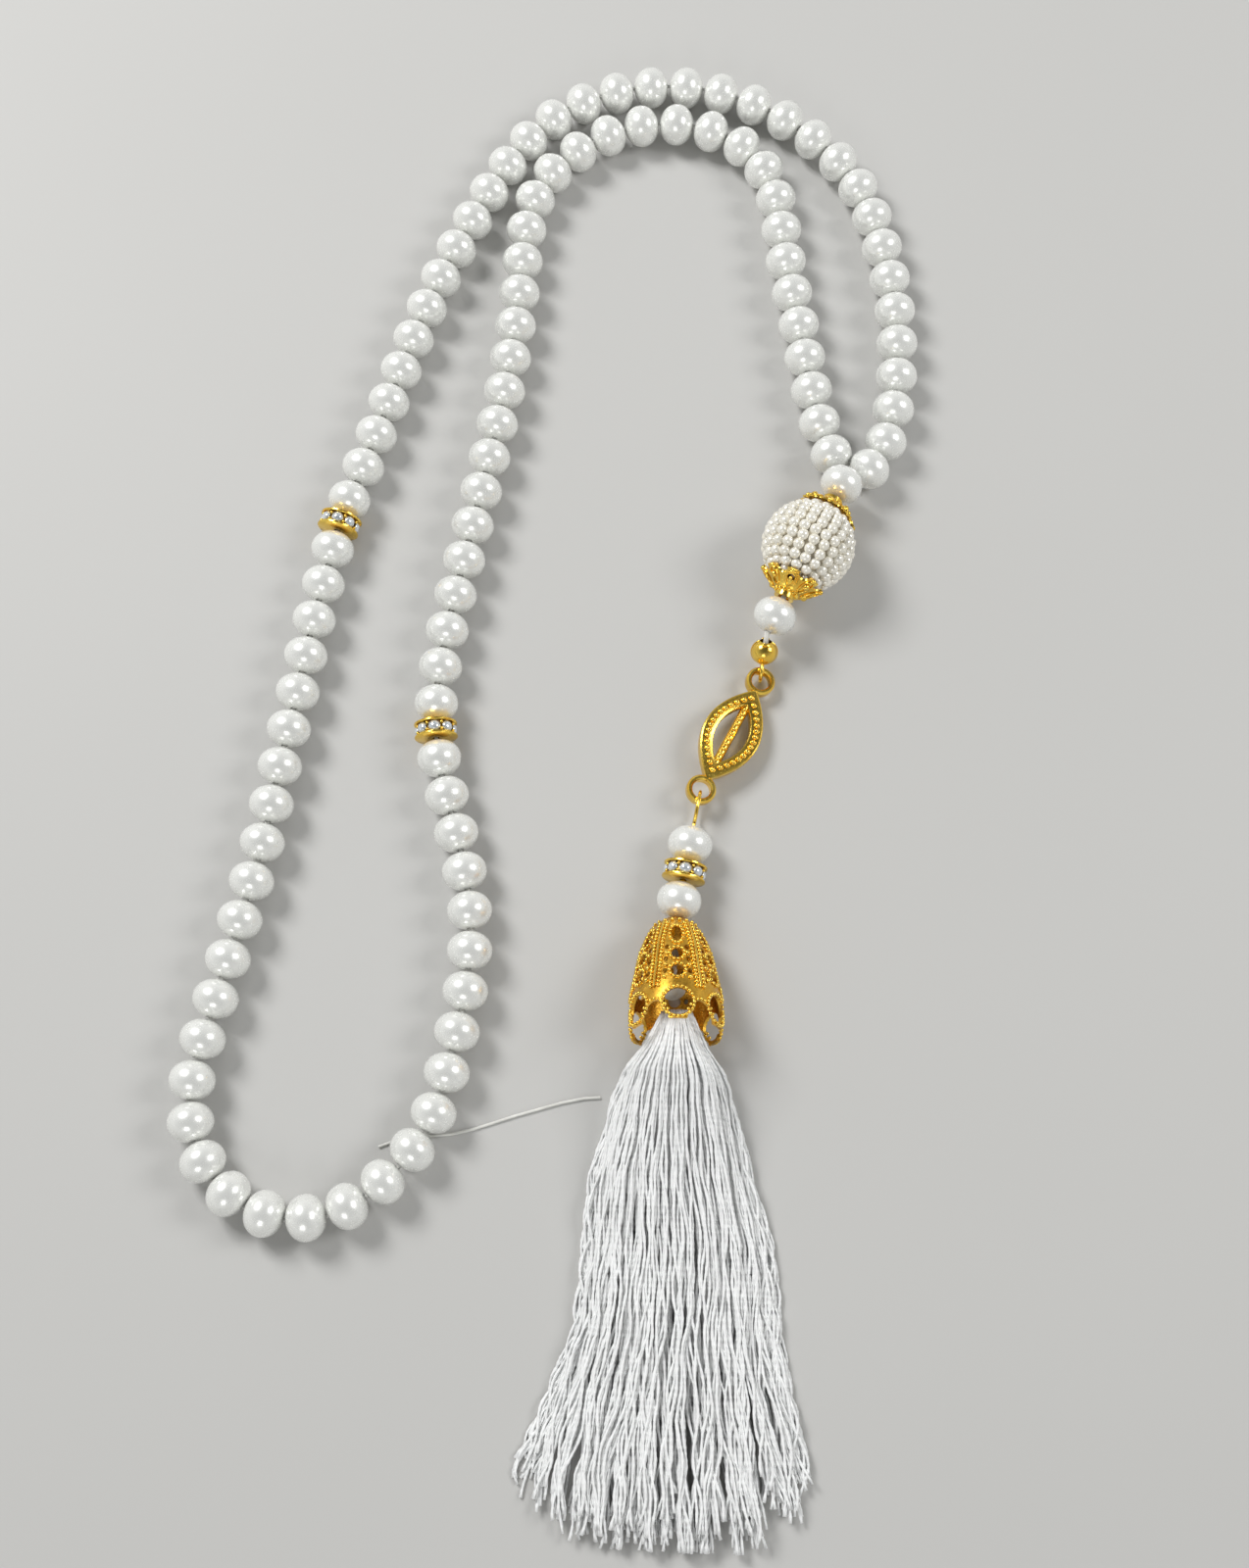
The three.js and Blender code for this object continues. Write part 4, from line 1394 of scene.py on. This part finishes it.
@dataclass
class Tassel:
    """The hank of twisted threads that falls from the cone and spreads on the table."""

    shop: Shop
    threads: int = 640
    bundles: int = 4
    step: float = 1.0
    sides: int = 6
    wide: float = 0.31
    thin: float = 0.22
    twist: float = 48.0
    clumps: int = 46
    corner_rise: float = 9.0
    floor: float = 0.32
    mouth: float = -55.5
    settled: float = -66.0
    cut_ends: float = -139.0
    farthest: float = -142.0
    unevenness: float = 1.7
    gathering: float = 0.28
    squareness: float = 2.6
    edge: float = 0.93
    left: Outline = ((-142.5, -0.8), (-130.7, 0.1), (-108.3, 6.8), (-82.4, 8.9), (-70, 11.8),
                     (-65, 13.6), (-61.5, 16.4), (-55.5, 19.4))
    right: Outline = ((-142.5, 48.2), (-133.5, 47.0), (-109.7, 40.2), (-93.1, 38.6),
                      (-80, 35.0), (-67.3, 31.2), (-65, 30.0), (-61.5, 27.2),
                      (-55.5, 24.2))
    low: Outline = ((-142.5, 0), (-68.5, 0), (-65, 1.8), (-61, 5.4), (-55.5, 7.4))
    high: Outline = ((-142.5, 3.4), (-136, 4.4), (-123.5, 5.0), (-109.5, 5.6), (-95.5, 6.4),
                     (-83.5, 7.6), (-75.5, 9.4), (-68.5, 11.6), (-65, 12.8), (-61, 12.7),
                     (-55.5, 11.2))

    def paths(self, count: int, rng: np.random.Generator) -> list[np.ndarray]:
        """Draws the lines that threads follow.

        Args:
            count: How many threads.
            rng: The seeded source of chance.

        Returns:
            The points of each thread, in millimetres.
        """
        def read(rows: Outline, y: np.ndarray) -> np.ndarray:
            """Reads an outline at many places.

            Args:
                rows: The outline.
                y: The places.

            Returns:
                The outline there.
            """
            return np.interp(y, [row[0] for row in rows], [row[1] for row in rows])

        clump_phase = rng.uniform(0, 2 * math.pi, (self.clumps, 3))
        clump_end = rng.normal(0, self.unevenness, self.clumps)
        lines = []
        for _ in range(count):
            across = rng.uniform(-1, 1)
            clump = min(self.clumps - 1, int((across + 1) / 2 * self.clumps))
            gathered = ((clump + 0.5) / self.clumps) * 2 - 1
            height = rng.uniform(0, 1)
            end = (self.cut_ends + self.corner_rise * abs(across) ** 3 + clump_end[clump]
                   + rng.normal(0, self.unevenness))
            y = np.arange(self.mouth, max(end, self.farthest), -self.step)
            run = (y - y[0]) / (y[-1] - y[0])
            u = across + (gathered - across) * self.gathering * np.clip(run, 0, 1)
            left, right = read(self.left, y), read(self.right, y)
            x = left + (right - left) * (u + 1) / 2
            low, high = read(self.low, y), read(self.high, y)
            crown = np.sqrt(np.clip(1 - np.abs(u) ** self.squareness, 0.03, 1))
            middle = (low + high) / 2
            under = middle - (middle - low) * np.where(y > self.settled, crown, 1)
            z = under + (low + (high - low) * crown - under) * height
            sway = 0.3 + 1.1 * run
            phase = clump_phase[clump]
            x = x + sway * 0.8 * np.sin(run * 8.0 + phase[0]) * run
            own = rng.uniform(0, 2 * math.pi, 4)
            loose = (2.4 if abs(across) > self.edge else 1.25) * np.clip((y[0] - y) / 14, 0, 1)
            x = x + loose * sway * (0.34 * np.sin(y * 0.22 + own[0])
                                    + 0.22 * np.sin(y * 0.51 + own[1]))
            z = z + 0.22 * sway * np.sin(y * 0.3 + own[2])
            z = np.maximum(z, self.floor + 0.04 * rng.random())
            lines.append(np.stack([x, y, z], axis=1))
        return lines

    def spun(self, name: str, lines: list[np.ndarray],
             rng: np.random.Generator) -> bpy.types.Object:
        """Spins threads of a flat twisted section along lines.

        Args:
            name: The object's name.
            lines: The points of each thread.
            rng: The seeded source of chance.

        Returns:
            The mesh object, with a UV map that runs round and along each thread.
        """
        vertices, faces, uvs, ends = [], [], [], []
        start = 0
        for line in lines:
            count = len(line)
            tangent = np.gradient(line, axis=0)
            tangent /= np.linalg.norm(tangent, axis=1)[:, None]
            side = np.cross(tangent, (0, 0, 1.0))
            side /= np.linalg.norm(side, axis=1)[:, None]
            up = np.cross(side, tangent)
            turn = np.radians(self.twist) * np.arange(count) + rng.uniform(0, 2 * math.pi)
            ring = []
            n = self.sides
            for k in range(n):
                a = self.wide * math.cos(2 * math.pi / n * k)
                b = self.thin * math.sin(2 * math.pi / n * k)
                across = a * np.cos(turn) - b * np.sin(turn)
                rise = a * np.sin(turn) + b * np.cos(turn)
                ring.append(line + side * across[:, None] + up * rise[:, None])
            rings = np.stack(ring, axis=1)
            rings[..., 2] = np.maximum(rings[..., 2], 0.02)
            vertices.append(rings.reshape(-1, 3))
            j, k = np.meshgrid(np.arange(count - 1), np.arange(n), indexing="ij")
            a, b = start + j * n + k, start + j * n + (k + 1) % n
            faces.append(np.stack([a, a + n, b + n, b], axis=-1).reshape(-1, 4))
            u0, u1, v = k / n, (k + 1) / n, j * self.step
            square = np.stack([np.stack([u0, v], -1), np.stack([u0, v + self.step], -1),
                               np.stack([u1, v + self.step], -1), np.stack([u1, v], -1)], axis=2)
            uvs.append(square.reshape(-1, 2))
            last = start + (count - 1) * n
            ends.append([start + i for i in range(n)])
            ends.append([last + n - 1 - i for i in range(n)])
            start += count * n
        mesh = bpy.data.meshes.new(name)
        mesh.from_pydata(np.concatenate(vertices).tolist(), [], np.concatenate(faces).tolist() + ends)
        uvs.append(np.zeros((len(ends) * self.sides, 2)))
        layer = mesh.uv_layers.new(name="thread")
        layer.data.foreach_set("uv", np.concatenate(uvs).astype(np.float32).ravel())
        mesh.polygons.foreach_set("use_smooth", [True] * len(mesh.polygons))
        obj = bpy.data.objects.new(name, mesh)
        bpy.context.scene.collection.objects.link(obj)
        return obj

    def build(self) -> None:
        """Builds the hank in a few bundles."""
        rng = np.random.default_rng(SEED)
        lines = self.paths(self.threads, rng)
        for i in range(self.bundles):
            name = f"tassel_threads_{i + 1}"
            self.shop.fit(self.spun(name, lines[i::self.bundles], rng), name, "tassel",
                          Slot.SILK, self.shop.palette.silk, "tassel_hank")


@dataclass
class LooseThread:
    """The one pulled thread that lies from the tassel's shoulder to the string."""

    shop: Shop
    diameter: float = 0.5
    height: float = 0.27
    shift: tuple[float, float] = (11.11, -106.85)
    route: Outline = (
        (-1.8, 37.4), (-4.6, 37.1), (-8.4, 36.2), (-12.4, 34.9), (-16.4, 33.6), (-20.2, 32.2),
        (-23.8, 30.9), (-27.2, 30.0), (-30.4, 29.6), (-33.4, 29.3), (-36.6, 28.6), (-39.4, 27.4))

    def build(self) -> None:
        curve = bpy.data.curves.new("loose_thread", "CURVE")
        curve.dimensions = "3D"
        curve.bevel_depth = self.diameter * MM / 2
        curve.bevel_resolution = 2
        curve.use_fill_caps = True
        points = [((x + self.shift[0]) * MM, (y + self.shift[1]) * MM, self.height * MM)
                  for x, y in self.route]
        spline = curve.splines.new("POLY")
        spline.points.add(len(points) - 1)
        for point, place in zip(spline.points, points):
            point.co = (*place, 1)
        obj = bpy.data.objects.new("loose_thread", curve)
        bpy.context.scene.collection.objects.link(obj)
        curve.materials.append(self.shop.palette.string)
        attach(obj, "toe")
        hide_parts("stray_thread")
        log.info("loose_thread rides on toe")


# ------------------------------------------------------------------ the setting


@dataclass
class Studio:
    """The camera, the pale floor and the soft light."""

    lens: float = 41.23
    tilt: float = 16.813
    roll: float = 2.425
    place: tuple[float, float, float] = (0.0112, -0.1073, 0.3135)

    def set_camera(self) -> None:
        """Sets the camera over the beads."""
        t, p = math.radians(self.tilt), math.radians(self.roll)
        right = Vector((math.cos(p), math.sin(p) * math.cos(t), math.sin(p) * math.sin(t)))
        up = Vector((-math.sin(p), math.cos(p) * math.cos(t), math.cos(p) * math.sin(t)))
        back = Vector((0, -math.sin(t), math.cos(t)))
        data = bpy.data.cameras.new("camera")
        data.lens = self.lens
        data.sensor_width = 36
        data.clip_start = 0.01
        data.dof.use_dof = False
        camera = bpy.data.objects.new("camera", data)
        camera.matrix_world = (Matrix.Translation(self.place)
                               @ Matrix((right, up, back)).transposed().to_4x4())
        bpy.context.scene.collection.objects.link(camera)
        bpy.context.scene.camera = camera

    def set_floor(self) -> None:
        """Lays the pale floor."""
        deselect_everything()
        bpy.ops.mesh.primitive_plane_add(size=4, location=(0, 0, 0))
        floor = bpy.context.object
        floor.name = "floor"
        material = bpy.data.materials.new("floor_paper")
        material.use_nodes = True
        nodes, links = material.node_tree.nodes, material.node_tree.links
        place = nodes.new("ShaderNodeTexCoord")
        noise = nodes.new("ShaderNodeTexNoise")
        noise.inputs["Scale"].default_value = 6
        tone = nodes.new("ShaderNodeMix")
        tone.data_type = "RGBA"
        tone.inputs["A"].default_value = (0.52, 0.515, 0.50, 1)
        tone.inputs["B"].default_value = (0.56, 0.555, 0.54, 1)
        links.new(place.outputs["Object"], noise.inputs["Vector"])
        links.new(noise.outputs["Fac"], tone.inputs["Factor"])
        links.new(tone.outputs["Result"], nodes["Principled BSDF"].inputs["Base Color"])
        nodes["Principled BSDF"].inputs["Roughness"].default_value = 0.7
        floor.data.materials.append(material)

    def set_lights(self) -> None:
        """Sets a large key from the upper left, a fill from the right and a pale surround."""
        for name, place, size, power in (
                ("key", (-0.5, 0.4, 0.7), 0.34, 6.4),
                ("fill", (0.6, 0.1, 0.55), 0.3, 2.2),
                ("front", (-0.1, -0.7, 0.5), 0.3, 0.9)):
            data = bpy.data.lights.new(name, "AREA")
            data.shape = "SQUARE"
            data.size = size
            data.energy = power
            light = bpy.data.objects.new(name, data)
            light.location = place
            towards = Vector((0, 0, 0)) - Vector(place)
            light.rotation_euler = towards.to_track_quat("-Z", "Y").to_euler()
            bpy.context.scene.collection.objects.link(light)
        world = bpy.data.worlds.new("studio")
        world.use_nodes = True
        nodes, links = world.node_tree.nodes, world.node_tree.links
        place = nodes.new("ShaderNodeTexCoord")
        split = nodes.new("ShaderNodeSeparateXYZ")
        ramp = nodes.new("ShaderNodeValToRGB")
        ramp.color_ramp.elements[0].color = (1.0, 1.0, 0.98, 1)
        ramp.color_ramp.elements[0].position = 0.2
        ramp.color_ramp.elements[1].color = (0.16, 0.17, 0.17, 1)
        ramp.color_ramp.elements[1].position = 0.95
        links.new(place.outputs["Generated"], split.inputs["Vector"])
        links.new(split.outputs["Z"], ramp.inputs["Fac"])
        links.new(ramp.outputs["Color"], nodes["Background"].inputs["Color"])
        nodes["Background"].inputs["Strength"].default_value = 0.62
        bpy.context.scene.world = world
        bpy.context.scene.view_settings.view_transform = "Standard"


def clear_leftovers() -> None:
    """Removes the objects that Blender starts with."""
    for name in ("Cube", "Light", "Camera"):
        if name in bpy.data.objects:
            bpy.data.objects.remove(bpy.data.objects[name])


def dress_kept_nodes(shop: Shop) -> None:
    """Gives the kept CAD nodes their worked materials.

    Args:
        shop: The frame and the finishes.
    """
    for name, node in shop.nodes.items():
        if name.startswith("string_") or name in ("pendant_string", "tassel_head"):
            node.data.materials.clear()
            node.data.materials.append(shop.palette.string)


def main() -> None:
    """Builds the beads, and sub-assembly by sub-assembly."""
    logging.basicConfig(level=logging.INFO, format="%(name)s: %(message)s")
    clear_leftovers()
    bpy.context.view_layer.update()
    studio = Studio()
    studio.set_camera()
    shop = Shop(frame["nodes"], {joint["name"]: joint for joint in frame["joints"]},
                frame["record"]["behaviour"]["bodies"], Palette())
    LooseThread(shop).build()
    PearlString(shop).build()
    Dividers(shop).build()
    SeedBall(shop).build()
    PetalCaps(shop).build()
    KnotCover(shop).build()
    LeafCharm(shop).build()
    EyePin(shop).build()
    FiligreeCone(shop).build()
    Tassel(shop).build()
    dress_kept_nodes(shop)
    studio.set_floor()
    studio.set_lights()


if __name__ == "__main__":
    main()
